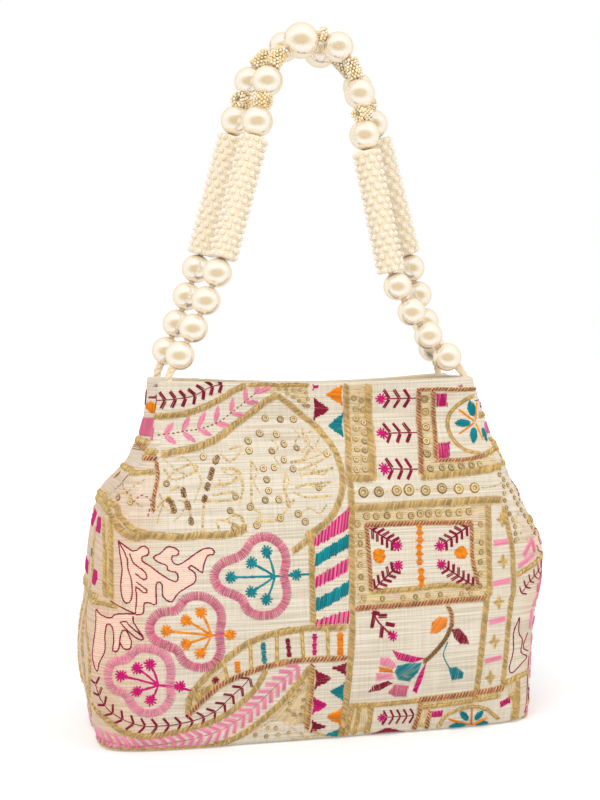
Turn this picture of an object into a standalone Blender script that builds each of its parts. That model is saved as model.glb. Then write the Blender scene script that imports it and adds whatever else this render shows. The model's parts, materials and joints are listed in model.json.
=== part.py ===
"""Embroidered potli handbag with two strung pearl handles.

The bag is a sewn sleeve of embroidered cloth on a flat base, with a lining, a base board and a snap.
Each handle is a cord strung with pearls, woven seed-bead sleeves and gilt spacers, and swings on the
two places where its cord is sewn into the hem. Metres, +Z up, origin under the middle of the base,
the front of the bag towards -Y.
"""

import math
from typing import NamedTuple

import bpy
import numpy as np
from mathutils import Vector

# Bag body, as stations from the base to the mouth
BAG_HEIGHT = 0.188
BASE_LEFT = 0.1190
BASE_RIGHT = 0.1175
BASE_DEPTH = 0.080
BELLY_HEIGHT = 0.046
BELLY_LEFT = 0.1250
BELLY_RIGHT = 0.1185
BELLY_DEPTH = 0.090
SHOULDER_HEIGHT = 0.094
SHOULDER_LEFT = 0.1195
SHOULDER_RIGHT = 0.1250
SHOULDER_DEPTH = 0.084
BREAST_HEIGHT = 0.125
BREAST_LEFT = 0.1165
BREAST_RIGHT = 0.1120
BREAST_DEPTH = 0.076
NECK_HEIGHT = 0.147
NECK_LEFT = 0.1010
NECK_RIGHT = 0.1045
NECK_DEPTH = 0.066
HEM_FLARE_LEFT = 0.0015
HEM_FLARE_RIGHT = 0.0055
MOUTH_SHIFT = -0.0010
MOUTH_WIDTH = 0.187
MOUTH_DEPTH = 0.053
MOUTH_SAG = 0.0030
SAG_REACH = 0.040
BELLY_CROWN = 0.002
NECK_PINCH = 0.008
PINCH_REACH = 1.5
BREAST_FOLD = 0.004
NECK_FOLD = 0.011
MOUTH_FOLD = 0.018
SIDE_SQUARENESS = 6.0
FOLD_SHARPNESS = 1.4
FOLD_REACH = 8

# Cloth, board and snap
CLOTH = 0.0022
HEM_HEIGHT = 0.018
HEM_THICKNESS = 0.0046
HEM_STEP = 0.003
LINING = 0.0009
BASE_CLOTH = 0.0020
BOARD = 0.0020
GAP = 0.0003
SNAP_RADIUS = 0.0070
SNAP_THICKNESS = 0.0024
SNAP_DROP = 0.0105
SNAP_SIDES = 20

# Handles
HANDLE_SPAN = 0.160
CORD_RADIUS = 0.0015
LEAD_RADIUS = 0.0017
KNOT_RADIUS = 0.0018
BORE_GAP = 0.00035
PIVOT_RISE = 0.0024
ANCHOR_DEPTH = 0.012
ANCHOR_SIDES = 8
ANCHOR_GAP = 0.0004
FRONT_LEAD = 0.0040
BACK_LEAD = 0.0045
LOWER_PEARL = 0.0154
LOWER_PEARLS = 4
UPPER_PEARL = 0.0162
CROWN_PEARL = 0.0193
SLEEVE_LENGTH = 0.0655
SLEEVE_RADIUS = 0.0079
SEED_RELIEF = 0.0010
SLEEVE_BEADS_ROUND = 8
SLEEVE_ROWS = 16
SPACER_RADIUS = 0.0045
SPACER_SHORT = 0.0052
SPACER_LONG = 0.0098
SPACER_RING = 0.0020
SPACER_RELIEF = 0.0009
FRONT_CROWN_LEFT = 0.0300
FRONT_CROWN_RIGHT = 0.0260
FRONT_FLARE_LEFT = 2.1
FRONT_FLARE_RIGHT = 3.8
FRONT_CROWN_SHIFT = 0.001
BACK_CROWN_LEFT = 0.0330
BACK_CROWN_RIGHT = 0.0340
BACK_FLARE_LEFT = 1.6
BACK_FLARE_RIGHT = 1.2
BACK_CROWN_SHIFT = -0.003
CROWN_ROUNDNESS = 9

# How finely the round and lofted pieces are drawn
LONG_CELLS = 12
SHORT_CELLS = 6
PEARL_SIDES = 10
PEARL_BANDS = 5
SPACER_SIDES = 8
PATH_SAMPLES = 1500
FITTING_ROUNDS = 14
RISE_HALVINGS = 40
KNOT_STEPS = 3
KNOT_END_SHARE = 0.02
CORD_BEVEL_STEPS = 2
MERGE = 0.00002

SIDES = {"left": -1.0, "right": 1.0}


class Station(NamedTuple):
    """One horizontal section of the bag: how far it reaches each way, and how it is pinched and folded."""

    height: float
    left: float
    right: float
    half_depth: float
    crown: float
    fold: float


# At its middle the mouth is held as nearly shut as the snap, the linings and the hems let it.
SHUT_DEPTH = GAP / 2 + SNAP_THICKNESS + GAP + LINING + GAP + HEM_THICKNESS
MOUTH_PINCH = MOUTH_DEPTH / 2 - SHUT_DEPTH
MOUTH_LEFT = MOUTH_WIDTH / 2 - MOUTH_SHIFT
MOUTH_RIGHT = MOUTH_WIDTH / 2 + MOUTH_SHIFT
HEM_BOTTOM = BAG_HEIGHT - HEM_HEIGHT
HEM_LEFT = MOUTH_LEFT + HEM_FLARE_LEFT
HEM_RIGHT = MOUTH_RIGHT + HEM_FLARE_RIGHT
STATIONS = [
    Station(0.0, BASE_LEFT, BASE_RIGHT, BASE_DEPTH / 2, 0.0, 0.0),
    Station(BELLY_HEIGHT, BELLY_LEFT, BELLY_RIGHT, BELLY_DEPTH / 2, BELLY_CROWN, 0.0),
    Station(SHOULDER_HEIGHT, SHOULDER_LEFT, SHOULDER_RIGHT, SHOULDER_DEPTH / 2, BELLY_CROWN, 0.0),
    Station(BREAST_HEIGHT, BREAST_LEFT, BREAST_RIGHT, BREAST_DEPTH / 2, 0.0, BREAST_FOLD),
    Station(NECK_HEIGHT, NECK_LEFT, NECK_RIGHT, NECK_DEPTH / 2, -NECK_PINCH, NECK_FOLD),
    Station(HEM_BOTTOM, HEM_LEFT, HEM_RIGHT, MOUTH_DEPTH / 2, -MOUTH_PINCH, MOUTH_FOLD),
    Station(BAG_HEIGHT, MOUTH_LEFT, MOUTH_RIGHT, MOUTH_DEPTH / 2, -MOUTH_PINCH, MOUTH_FOLD),
]


def clear_scene():
    """Removes the objects that the file opened with."""
    for obj in list(bpy.data.objects):
        bpy.data.objects.remove(obj)


def collection(name):
    """A new collection in the scene."""
    made = bpy.data.collections.new(name)
    bpy.context.scene.collection.children.link(made)
    return made


def material(name, colour, roughness, metallic=0.0):
    """A Principled BSDF material."""
    made = bpy.data.materials.new(name)
    made.use_nodes = True
    shader = made.node_tree.nodes["Principled BSDF"]
    shader.inputs["Base Color"].default_value = (*colour, 1.0)
    shader.inputs["Roughness"].default_value = roughness
    shader.inputs["Metallic"].default_value = metallic
    return made


def smooth_through(heights, values, height):
    """A curve through the stations that never overshoots them (monotone cubic)."""
    spans = np.diff(heights)
    slopes = np.diff(values) / spans
    tangents = np.zeros(len(values))
    for i in range(1, len(values) - 1):
        if slopes[i - 1] * slopes[i] > 0:
            tangents[i] = 2 * slopes[i - 1] * slopes[i] / (slopes[i - 1] + slopes[i])
    tangents[0] = slopes[0]
    i = int(np.clip(np.searchsorted(heights, height) - 1, 0, len(spans) - 1))
    t = (height - heights[i]) / spans[i]
    rise = values[i + 1] - values[i]
    bend = (tangents[i] + tangents[i + 1]) * spans[i] - 2 * rise
    lift = 3 * rise - (2 * tangents[i] + tangents[i + 1]) * spans[i]
    return values[i] + t * (tangents[i] * spans[i] + t * (lift + t * bend))


def station_at(height):
    """The section of the bag at any height."""
    heights = np.array([s.height for s in STATIONS])
    columns = np.array(STATIONS).T[1:]
    return Station(height, *(smooth_through(heights, column, height) for column in columns))


def square_loop():
    """Points round a unit square, closer together near its corners, from the front left corner."""
    along = np.sin(math.pi / 2 * np.linspace(-1, 1, LONG_CELLS, endpoint=False))
    across = np.sin(math.pi / 2 * np.linspace(-1, 1, SHORT_CELLS, endpoint=False))
    ones_long = np.ones(LONG_CELLS)
    ones_short = np.ones(SHORT_CELLS)
    x = np.concatenate([along, ones_short, -along, -ones_short])
    y = np.concatenate([-ones_long, across, ones_long, -across])
    return x, y


def section(height, inset=0.0):
    """The closed outline of the bag at a height, brought in by an inset: a rounded rectangle whose long
    sides are crowned or pinched and whose short sides are folded inwards. A fold's wall slants, so the
    inset moves its corners in by more than the front."""
    s = station_at(height)
    slant = s.fold / s.half_depth
    corner_inset = inset * (math.hypot(1, slant) + slant)
    half_depth = s.half_depth - inset
    fold = s.fold * half_depth / s.half_depth
    x, y = square_loop()
    reach = (np.abs(x) ** SIDE_SQUARENESS + np.abs(y) ** SIDE_SQUARENESS) ** (1 / SIDE_SQUARENESS)
    x, y = x / reach, y / reach
    outer_half = np.where(x < 0, s.left, s.right)
    half_width = outer_half - corner_inset
    fold_in = fold * (1 - np.abs(y) ** FOLD_SHARPNESS) * np.abs(x) ** FOLD_REACH
    middle = (1 - (x * half_width / outer_half) ** 2) ** PINCH_REACH
    sag_share = max(0.0, 1 - (BAG_HEIGHT - height) / SAG_REACH)
    return np.stack(
        [
            half_width * x - np.sign(x) * fold_in,
            (half_depth + s.crown * middle) * y,
            height - MOUTH_SAG * sag_share * middle * np.abs(y),
        ],
        axis=1,
    )


def wall_at(height):
    """Thickness of the sleeve's wall: the cloth, and the folded hem at the mouth."""
    share = np.clip((height - HEM_BOTTOM + HEM_STEP) / HEM_STEP, 0, 1)
    return float(CLOTH + (HEM_THICKNESS - CLOTH) * share)


def rim_at(x):
    """Where the outside of the mouth's front edge is, at a distance from its middle: how far it is from
    the middle plane, and its height."""
    share = abs(x) / (MOUTH_WIDTH / 2)
    reach = (1 - share**SIDE_SQUARENESS) ** (1 / SIDE_SQUARENESS)
    middle = (1 - share**2) ** PINCH_REACH
    return (MOUTH_DEPTH / 2 - MOUTH_PINCH * middle) * reach, BAG_HEIGHT - MOUTH_SAG * middle * reach


def place(obj, group, slot):
    """Puts an object in its collection, and in no other, with its material."""
    for other in obj.users_collection:
        other.objects.unlink(obj)
    group.objects.link(obj)
    obj.data.materials.append(slot)
    return obj


def loft(name, rings, group, slot, closed=False):
    """A solid through rings of the same number of points. Its ends are flat, or it closes on itself.
    Each cell is split from its lower ring's first point, so that an inner and an outer wall bend alike."""
    count = len(rings[0])
    verts = np.concatenate(rings)
    cells = []
    last = len(rings) if closed else len(rings) - 1
    for level in range(last):
        following = (level + 1) % len(rings)
        rising = rings[following][:, 2].mean() >= rings[level][:, 2].mean()
        for i in range(count):
            j = (i + 1) % count
            near_i, near_j = level * count + i, level * count + j
            far_i, far_j = following * count + i, following * count + j
            if rising:
                cells += [(near_i, near_j, far_j), (near_i, far_j, far_i)]
            else:
                cells += [(near_i, near_j, far_i), (near_j, far_j, far_i)]
    if not closed:
        cells.append(tuple(reversed(range(count))))
        cells.append(tuple(range(len(verts) - count, len(verts))))
    mesh = bpy.data.meshes.new(name)
    mesh.from_pydata(verts.tolist(), [], cells)
    mesh.validate()
    mesh.shade_smooth()
    return place(bpy.data.objects.new(name, mesh), group, slot)


def body_heights(bottom):
    """Levels for the walls, from a bottom to the mouth, through every station and the hem's step."""
    marks = [bottom, *(s.height for s in STATIONS[1:]), HEM_BOTTOM - HEM_STEP]
    between = [(NECK_HEIGHT + HEM_BOTTOM) / 2, BELLY_HEIGHT / 2]
    return sorted(marks + between)


def outer_sleeve(group, slot, holes):
    """The embroidered cloth: front, back and both folded sides in one wrap, with a thick hem that the
    handle cords are sewn into."""
    levels = body_heights(BASE_CLOTH + GAP)
    rings = [section(z) for z in levels]
    rings += [section(z, wall_at(z)) for z in reversed(levels)]
    sleeve = loft("outer_sleeve", rings, group, slot, closed=True)
    for hole in holes:
        cut = sleeve.modifiers.new(hole.name, "BOOLEAN")
        cut.operation = "DIFFERENCE"
        cut.object = hole
    return sleeve


def lining(group, slot):
    """The lining: a thin bag inside the sleeve, open at the mouth."""
    floor = BASE_CLOTH + GAP + BOARD + GAP
    outer = body_heights(floor)
    inner = body_heights(floor + LINING)
    rings = [section(z, wall_at(z) + GAP) for z in outer]
    rings += [section(z, wall_at(z) + GAP + LINING) for z in reversed(inner)]
    return loft("lining", rings, group, slot)


def plate(name, bottom, thickness, inset, group, slot):
    """A flat sheet in the outline of the base."""
    data = bpy.data.curves.new(name, "CURVE")
    data.dimensions = "2D"
    data.fill_mode = "BOTH"
    data.extrude = thickness / 2
    outline = section(0.0, inset)
    spline = data.splines.new("POLY")
    spline.points.add(len(outline) - 1)
    spline.use_cyclic_u = True
    for point, (x, y, _) in zip(spline.points, outline):
        point.co = (x, y, 0.0, 1.0)
    obj = place(bpy.data.objects.new(name, data), group, slot)
    obj.location.z = bottom + thickness / 2
    return obj


def snap_half(name, side, group, slot):
    """One half of the press snap, a disc on the lining at the middle of the mouth."""
    bpy.ops.mesh.primitive_cylinder_add(vertices=SNAP_SIDES, radius=SNAP_RADIUS, depth=SNAP_THICKNESS)
    obj = bpy.context.object
    obj.name = name
    obj.rotation_euler = (math.pi / 2, 0, 0)
    away = GAP / 2 + SNAP_THICKNESS / 2
    obj.location = (MOUTH_SHIFT, side * away, BAG_HEIGHT - MOUTH_SAG - SNAP_DROP)
    return place(obj, group, slot)


def turned(name, outline, sides, group, slot):
    """A body of revolution about Z, from a closed profile that runs down its outer side."""
    mesh = bpy.data.meshes.new(name)
    edges = [(i, (i + 1) % len(outline)) for i in range(len(outline))]
    mesh.from_pydata([(r, 0, z) for r, z in outline], edges, [])
    obj = place(bpy.data.objects.new(name, mesh), group, slot)
    screw = obj.modifiers.new("turn", "SCREW")
    screw.steps = screw.render_steps = sides
    screw.use_merge_vertices = True
    screw.merge_threshold = MERGE
    screw.use_smooth_shade = True
    return obj


def pearl(name, diameter, group, slot):
    """A pearl with a hole for the cord."""
    radius = diameter / 2
    bore = CORD_RADIUS + BORE_GAP
    edge = math.acos(bore / radius)
    angles = np.linspace(edge, -edge, PEARL_BANDS + 1)
    outline = [(radius * math.cos(a), radius * math.sin(a)) for a in angles]
    return turned(name, outline, PEARL_SIDES, group, slot)


def spacer(name, length, group, slot):
    """A gilt spacer: rings of tiny beads stacked along the cord."""
    rings = max(1, round(length / SPACER_RING))
    outline = []
    for i in range(2 * rings + 1):
        waist = SPACER_RELIEF if i % 2 == 0 else 0.0
        outline.append((SPACER_RADIUS - waist, length / 2 - length * i / (2 * rings)))
    bore = CORD_RADIUS + BORE_GAP
    outline += [(bore, -length / 2), (bore, length / 2)]
    return turned(name, outline, SPACER_SIDES, group, slot)


def seed_sleeve(name, group, slot):
    """A sleeve of seed beads woven round the cord: its wall stands out at every second point."""
    sides = 2 * SLEEVE_BEADS_ROUND
    turn = 2 * math.pi * np.arange(sides) / sides
    half = SLEEVE_LENGTH / 2
    rings = []
    for row, z in enumerate(np.linspace(-half, half, SLEEVE_ROWS)):
        bump = (np.arange(sides) + row) % 2
        radius = SLEEVE_RADIUS - SEED_RELIEF * bump
        rings.append(np.stack([radius * np.cos(turn), radius * np.sin(turn), np.full(sides, z)], axis=1))
    bore = CORD_RADIUS + BORE_GAP
    for z in (half, -half):
        rings.append(np.stack([bore * np.cos(turn), bore * np.sin(turn), np.full(sides, z)], axis=1))
    return loft(name, rings, group, slot, closed=True)


class Link(NamedTuple):
    """One stretch of the cord: what is on it, and how long that is."""

    kind: str
    length: float

    def radius(self):
        """Radius of a pearl. Anything else has flat ends, and no radius."""
        return self.length / 2 if self.kind.endswith("pearl") else None


class Leg(NamedTuple):
    """Shape of one leg of a handle: how far it is from the middle under the crown, and how late its flare
    towards the bag comes."""

    crown_half: float
    flare: float


class Handle(NamedTuple):
    """One handle: the side of the bag that it is on, its legs, how far its crown is off the middle, the
    bare cord at its ends and the side of its crown pearl with only two upper pearls."""

    name: str
    side: float
    left: Leg
    right: Leg
    crown_shift: float
    lead: float
    short_side: str


FRONT_LEGS = (Leg(FRONT_CROWN_LEFT, FRONT_FLARE_LEFT), Leg(FRONT_CROWN_RIGHT, FRONT_FLARE_RIGHT))
BACK_LEGS = (Leg(BACK_CROWN_LEFT, BACK_FLARE_LEFT), Leg(BACK_CROWN_RIGHT, BACK_FLARE_RIGHT))
HANDLES = [
    Handle("front", -1.0, *FRONT_LEGS, FRONT_CROWN_SHIFT, FRONT_LEAD, "left"),
    Handle("back", 1.0, *BACK_LEGS, BACK_CROWN_SHIFT, BACK_LEAD, "right"),
]


def strung_links(handle):
    """What is strung on a handle's cord, in order from its left sewn end to its right one."""
    lead = Link("lead", handle.lead)
    lower = [Link("lower_pearl", LOWER_PEARL)] * LOWER_PEARLS
    sleeve = Link("seed_sleeve", SLEEVE_LENGTH)
    upper = Link("upper_pearl", UPPER_PEARL)
    crown = Link("crown_pearl", CROWN_PEARL)
    short = Link("gilt_spacer", SPACER_SHORT)
    long = Link("gilt_spacer", SPACER_LONG)
    ring = Link("gilt_spacer", SPACER_RING)
    middle = [upper, short, upper, long, crown, ring, upper, long, upper, short, upper]
    if handle.short_side == "right":
        middle = middle[::-1]
    return [lead, *lower, sleeve, *middle, sleeve, *lower, lead]


def pivot_of(handle):
    """The middle of the line that a handle swings on: over the middle of the hem, at its sewn ends."""
    depth, height = rim_at(HANDLE_SPAN / 2)
    return np.array([MOUTH_SHIFT, handle.side * (depth - HEM_THICKNESS / 2), height + PIVOT_RISE])


def leg_reach(leg, t):
    """Distance of a leg from the middle where it has risen by the share t: a round crown over a flare."""
    flare_part = HANDLE_SPAN / 2 - leg.crown_half
    return leg.crown_half * np.sqrt(1 - t**CROWN_ROUNDNESS) + flare_part * (1 - t) ** leg.flare


def arch(handle, rise):
    """Points along a handle's centreline, from its left sewn end over the crown to its right one."""
    angle = np.linspace(0, math.pi, PATH_SAMPLES)
    t = np.sin(angle)
    pivot = pivot_of(handle)
    reach = np.where(angle < math.pi / 2, -leg_reach(handle.left, t), leg_reach(handle.right, t))
    top = handle.side * (CROWN_PEARL + GAP) / 2
    x = pivot[0] + reach + handle.crown_shift * t**2
    return np.stack([x, pivot[1] + (top - pivot[1]) * t, pivot[2] + rise * t], axis=1)


def path_lengths(points):
    """Distance along a path at each of its points."""
    steps = np.linalg.norm(np.diff(points, axis=0), axis=1)
    return np.concatenate([[0.0], np.cumsum(steps)])


def fitted_arch(handle, total):
    """The arch whose centreline has a given length."""
    low, high = 0.0, total
    for _ in range(RISE_HALVINGS):
        rise = (low + high) / 2
        if path_lengths(arch(handle, rise))[-1] < total:
            low = rise
        else:
            high = rise
    return arch(handle, high)


def room_between(first, second, bend):
    """Bare cord needed between two neighbours where the cord bends, so that they keep a gap: two pearls
    stay their radii apart, and a pearl stays clear of a flat end."""
    radii = [link.radius() for link in (first, second) if link.radius()]
    if len(radii) == 2:
        return (sum(radii) + GAP) / math.cos(bend / 2) - sum(radii)
    return 2 * (radii[0] * (1 - math.cos(bend)) + GAP) / (1 + math.cos(bend))


def strung_stops(handle, links):
    """Where the cord bends, and the bare cord at each bend. The cord is straight in each bead. Each
    round lays the beads along an arch, and corrects the share of it that each one takes."""
    lengths = np.array([link.length for link in links])
    room = np.full(len(links) + 1, GAP)
    room[[0, -1]] = 0.0
    shares = lengths + (room[:-1] + room[1:]) / 2
    for _ in range(FITTING_ROUNDS):
        points = fitted_arch(handle, shares.sum())
        along = path_lengths(points)
        marks = np.concatenate([[0.0], np.cumsum(shares)])
        stops = np.stack([np.interp(marks, along, column) for column in points.T], axis=1)
        chords = np.linalg.norm(np.diff(stops, axis=0), axis=1)
        runs = np.diff(stops, axis=0) / chords[:, None]
        bends = np.arccos(np.clip((runs[:-1] * runs[1:]).sum(axis=1), -1, 1))
        room[1:-1] = [room_between(*pair) for pair in zip(links[:-1], links[1:], bends)]
        shares *= (lengths + (room[:-1] + room[1:]) / 2) / chords
    return stops, room


def cord(name, stops, room, group, slot):
    """The cord through a handle's beads, thicker where it is bare at both ends. The ends are knots,
    rounded about the line that the handle swings on."""
    steps = np.linspace(-1, 1, 2 * KNOT_STEPS + 1)
    ball = KNOT_RADIUS * np.sqrt(np.clip(1 - steps**2, KNOT_END_SHARE, 1))
    ball = np.where(steps > 0, np.maximum(ball, LEAD_RADIUS), ball)
    ends = []
    for knot, bend, bare in ((stops[0], stops[1], room[1]), (stops[-1], stops[-2], room[-2])):
        run = (bend - knot) / np.linalg.norm(bend - knot)
        points = [knot + run * KNOT_RADIUS * step for step in steps]
        ends.append([*zip(points, ball), (bend - run * bare / 2, LEAD_RADIUS)])
    inner = [(stop, CORD_RADIUS) for stop in stops[1:-1]]
    route = [*ends[0], *inner, *reversed(ends[1])]
    data = bpy.data.curves.new(name, "CURVE")
    data.dimensions = "3D"
    data.bevel_depth = CORD_RADIUS
    data.bevel_resolution = CORD_BEVEL_STEPS
    data.use_fill_caps = True
    spline = data.splines.new("POLY")
    spline.points.add(len(route) - 1)
    for point, (where, radius) in zip(spline.points, route):
        point.co = (*where, 1.0)
        point.radius = radius / CORD_RADIUS
    return place(bpy.data.objects.new(name, data), group, slot)


def upright_rod(name, x, y, top, length, radius, group, slot):
    """A round rod whose upper end is at a height."""
    bpy.ops.mesh.primitive_cylinder_add(vertices=ANCHOR_SIDES, radius=radius, depth=length)
    obj = bpy.context.object
    obj.name = name
    obj.location = (x, y, top - length / 2)
    return place(obj, group, slot)


def sewn_ends(handle):
    """The left and right ends of the line that a handle swings on."""
    pivot = pivot_of(handle)
    return {side: pivot + (sign * HANDLE_SPAN / 2, 0, 0) for side, sign in SIDES.items()}


def anchors(handle, group, slot):
    """The two ends of a handle's cord that are sewn into the hem, just under its knots."""
    for side, end in sewn_ends(handle).items():
        top = end[2] - KNOT_RADIUS - ANCHOR_GAP
        name = f"{handle.name}_{side}_anchor"
        upright_rod(name, end[0], end[1], top, ANCHOR_DEPTH, CORD_RADIUS, group, slot)


def anchor_holes(group, slot):
    """The sockets for the anchors, cut down into the hem from above."""
    holes = []
    depth = PIVOT_RISE + ANCHOR_DEPTH
    for handle in HANDLES:
        for side, end in sewn_ends(handle).items():
            name = f"{handle.name}_{side}_hole"
            radius = CORD_RADIUS + BORE_GAP
            hole = upright_rod(name, end[0], end[1], end[2], depth, radius, group, slot)
            hole.hide_render = True
            hole.display_type = "WIRE"
            holes.append(hole)
    return holes


def string_handle(handle, group, slots):
    """A handle's cord, pearls, seed sleeves and spacers, each bead on its own stretch of the cord and
    all of them under an empty on the line that the handle swings about."""
    links = strung_links(handle)
    stops, room = strung_stops(handle, links)
    swing = bpy.data.objects.new(f"{handle.name}_swing", None)
    swing.location = pivot_of(handle)
    group.objects.link(swing)
    made = [cord(f"{handle.name}_cord", stops, room, group, slots["cord"])]
    counts = {}
    for i, link in enumerate(links):
        if link.kind == "lead":
            continue
        counts[link.kind] = counts.get(link.kind, 0) + 1
        name = f"{handle.name}_{link.kind}_{counts[link.kind]}"
        if link.kind == "seed_sleeve":
            bead = seed_sleeve(name, group, slots["seed"])
        elif link.kind == "gilt_spacer":
            bead = spacer(name, link.length, group, slots["gilt"])
        else:
            bead = pearl(name, link.length, group, slots["pearl"])
        run = Vector(stops[i + 1] - stops[i]).normalized()
        bead.location = Vector(stops[i]) + run * (room[i] + link.length) / 2
        bead.rotation_mode = "QUATERNION"
        bead.rotation_quaternion = run.to_track_quat("Z", "Y")
        made.append(bead)
    for obj in made:
        obj.parent = swing
        obj.matrix_parent_inverse.translation = -swing.location


def main():
    clear_scene()
    group = collection("potli_bag")
    cutters = collection("cutters")
    slots = {
        "cloth": material("embroidered_cloth", (0.80, 0.66, 0.48), 0.8),
        "lining": material("cream_lining", (0.80, 0.72, 0.58), 0.7),
        "board": material("grey_board", (0.35, 0.33, 0.30), 0.9),
        "snap": material("gilt_snap", (0.72, 0.55, 0.28), 0.3, 1.0),
        "cord": material("cream_cord", (0.85, 0.76, 0.62), 0.6),
        "pearl": material("cream_pearl", (0.90, 0.85, 0.74), 0.25),
        "seed": material("seed_pearl", (0.88, 0.79, 0.64), 0.3),
        "gilt": material("gilt_bead", (0.82, 0.68, 0.42), 0.35, 0.5),
    }
    outer_sleeve(group, slots["cloth"], anchor_holes(cutters, slots["cloth"]))
    plate("base_panel", 0.0, BASE_CLOTH, 0.0, group, slots["cloth"])
    plate("base_board", BASE_CLOTH + GAP, BOARD, CLOTH + GAP, group, slots["board"])
    lining(group, slots["lining"])
    snap_half("snap_stud", -1.0, group, slots["snap"])
    snap_half("snap_socket", 1.0, group, slots["snap"])
    for handle in HANDLES:
        anchors(handle, group, slots["cord"])
        string_handle(handle, group, slots)


main()
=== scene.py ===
"""Looks of the embroidered potli handbag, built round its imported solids.

The cloth is one lofted shell, and every stitch, sequin and bead on it is real geometry. Lengths are in
metres, except where a name says millimetres: the embroidery is drawn in millimetres on the cloth.
"""

import json
import logging
import math
from dataclasses import dataclass, field
from enum import Enum

import bpy
import numpy as np
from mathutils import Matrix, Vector


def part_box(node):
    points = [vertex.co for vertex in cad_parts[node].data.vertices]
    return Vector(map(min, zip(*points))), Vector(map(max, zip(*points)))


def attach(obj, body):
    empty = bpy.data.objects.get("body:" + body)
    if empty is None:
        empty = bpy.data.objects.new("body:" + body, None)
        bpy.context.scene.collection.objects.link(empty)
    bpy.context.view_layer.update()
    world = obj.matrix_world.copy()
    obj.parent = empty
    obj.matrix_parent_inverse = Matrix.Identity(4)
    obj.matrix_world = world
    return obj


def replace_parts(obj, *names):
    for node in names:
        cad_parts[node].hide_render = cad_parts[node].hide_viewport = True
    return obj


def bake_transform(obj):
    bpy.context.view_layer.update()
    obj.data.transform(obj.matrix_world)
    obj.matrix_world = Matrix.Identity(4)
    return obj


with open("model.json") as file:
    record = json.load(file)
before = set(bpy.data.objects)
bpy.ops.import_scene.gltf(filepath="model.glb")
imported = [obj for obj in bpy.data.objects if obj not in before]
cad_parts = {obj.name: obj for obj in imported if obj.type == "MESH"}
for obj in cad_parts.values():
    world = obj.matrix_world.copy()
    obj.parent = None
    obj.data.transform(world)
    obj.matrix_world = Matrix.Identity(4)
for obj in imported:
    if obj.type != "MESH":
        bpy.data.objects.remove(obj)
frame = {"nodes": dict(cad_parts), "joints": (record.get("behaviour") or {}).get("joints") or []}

LOG = logging.getLogger("potli_bag")
Array = np.ndarray
Colour = tuple[float, float, float]
# Radius that the cloth turns in with round the edge of the base, in metres
BASE_ROUND = 0.0030
# Points that one stitch has
STITCH_POINTS = 11
# Height where the fold in a left end begins to hide the cloth, and how soon it does, in millimetres
FOLD_START = 118
FOLD_RISE = 8


def linear(red: float, green: float, blue: float) -> Colour:
    """Turns a colour as it looks on a screen into a shader's linear values.

    Args:
        red: Its red, from 0 to 255.
        green: Its green.
        blue: Its blue.

    Returns:
        The linear red, green and blue, from 0 to 1.
    """
    shares = np.array([red, green, blue]) / 255
    values = np.where(shares <= 0.04045, shares / 12.92, ((shares + 0.055) / 1.055) ** 2.4)
    return tuple(float(value) for value in values)


def feed(tree: bpy.types.NodeTree, node: bpy.types.Node, inputs: dict) -> None:
    """Sets or links sockets of a node.

    Args:
        tree: The tree that the node is in.
        node: The node.
        inputs: For each socket's name or place, a constant, or another node's output to link to it.
    """
    for name, value in inputs.items():
        if isinstance(value, bpy.types.NodeSocket):
            tree.links.new(value, node.inputs[name])
        else:
            node.inputs[name].default_value = value


def added(
    tree: bpy.types.NodeTree, kind: str, output: str, inputs: dict | None = None, **settings: object
) -> bpy.types.NodeSocket:
    """Adds a node to a tree.

    Args:
        tree: The tree.
        kind: The node's type, without ShaderNode before it.
        output: The output that is wanted.
        inputs: What its sockets are fed with.
        settings: Its own settings, which are made first.

    Returns:
        The output.
    """
    node = tree.nodes.new(f"ShaderNode{kind}")
    for name, value in settings.items():
        setattr(node, name, value)
    feed(tree, node, inputs or {})
    return node.outputs[output]


def mixed(
    tree: bpy.types.NodeTree, share: object, first: object, second: object, **settings: object
) -> bpy.types.NodeSocket:
    """Adds a mix of two colours to a tree.

    Args:
        tree: The tree.
        share: The output that says how much of the second colour there is.
        first: The first colour, or the output that gives it.
        second: The second colour, or the output that gives it.
        settings: The mix's own settings.

    Returns:
        The mixed colour.
    """
    first, second = ((*colour, 1) if isinstance(colour, tuple) else colour for colour in (first, second))
    inputs = {"Factor": share, "A": first, "B": second}
    return added(tree, "Mix", "Result", inputs, data_type="RGBA", **settings)


def tones(colour: Colour, spread: float) -> tuple[Colour, Colour]:
    """A colour made darker and made lighter by a share of it."""
    return tuple(c * (1 - spread) for c in colour), tuple(min(1.0, c * (1 + spread)) for c in colour)


def principled(name: str, inputs: dict) -> tuple[bpy.types.Material, bpy.types.NodeTree, bpy.types.Node]:
    """Makes a material of one Principled shader.

    Args:
        name: Its name.
        inputs: Constants for the shader's sockets.

    Returns:
        The material, its tree and the shader.
    """
    made = bpy.data.materials.new(name)
    made.use_nodes = True
    shader = made.node_tree.nodes["Principled BSDF"]
    feed(made.node_tree, shader, inputs)
    return made, made.node_tree, shader


class Side(Enum):
    """The front of the bag, towards -Y, and its back."""

    FRONT = -1.0
    BACK = 1.0


class Thread(Enum):
    """What a stitch is made with. The value is its place in the embroidery's list of finishes."""

    GOLD = 0
    RED_GOLD = 1
    PINK = 2
    ROSE = 3
    MAGENTA = 4
    MAROON = 5
    TEAL = 6
    ORANGE = 7
    PEACH = 8
    SEQUIN = 9
    BROWN = 10
    GROUND = 11


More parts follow.
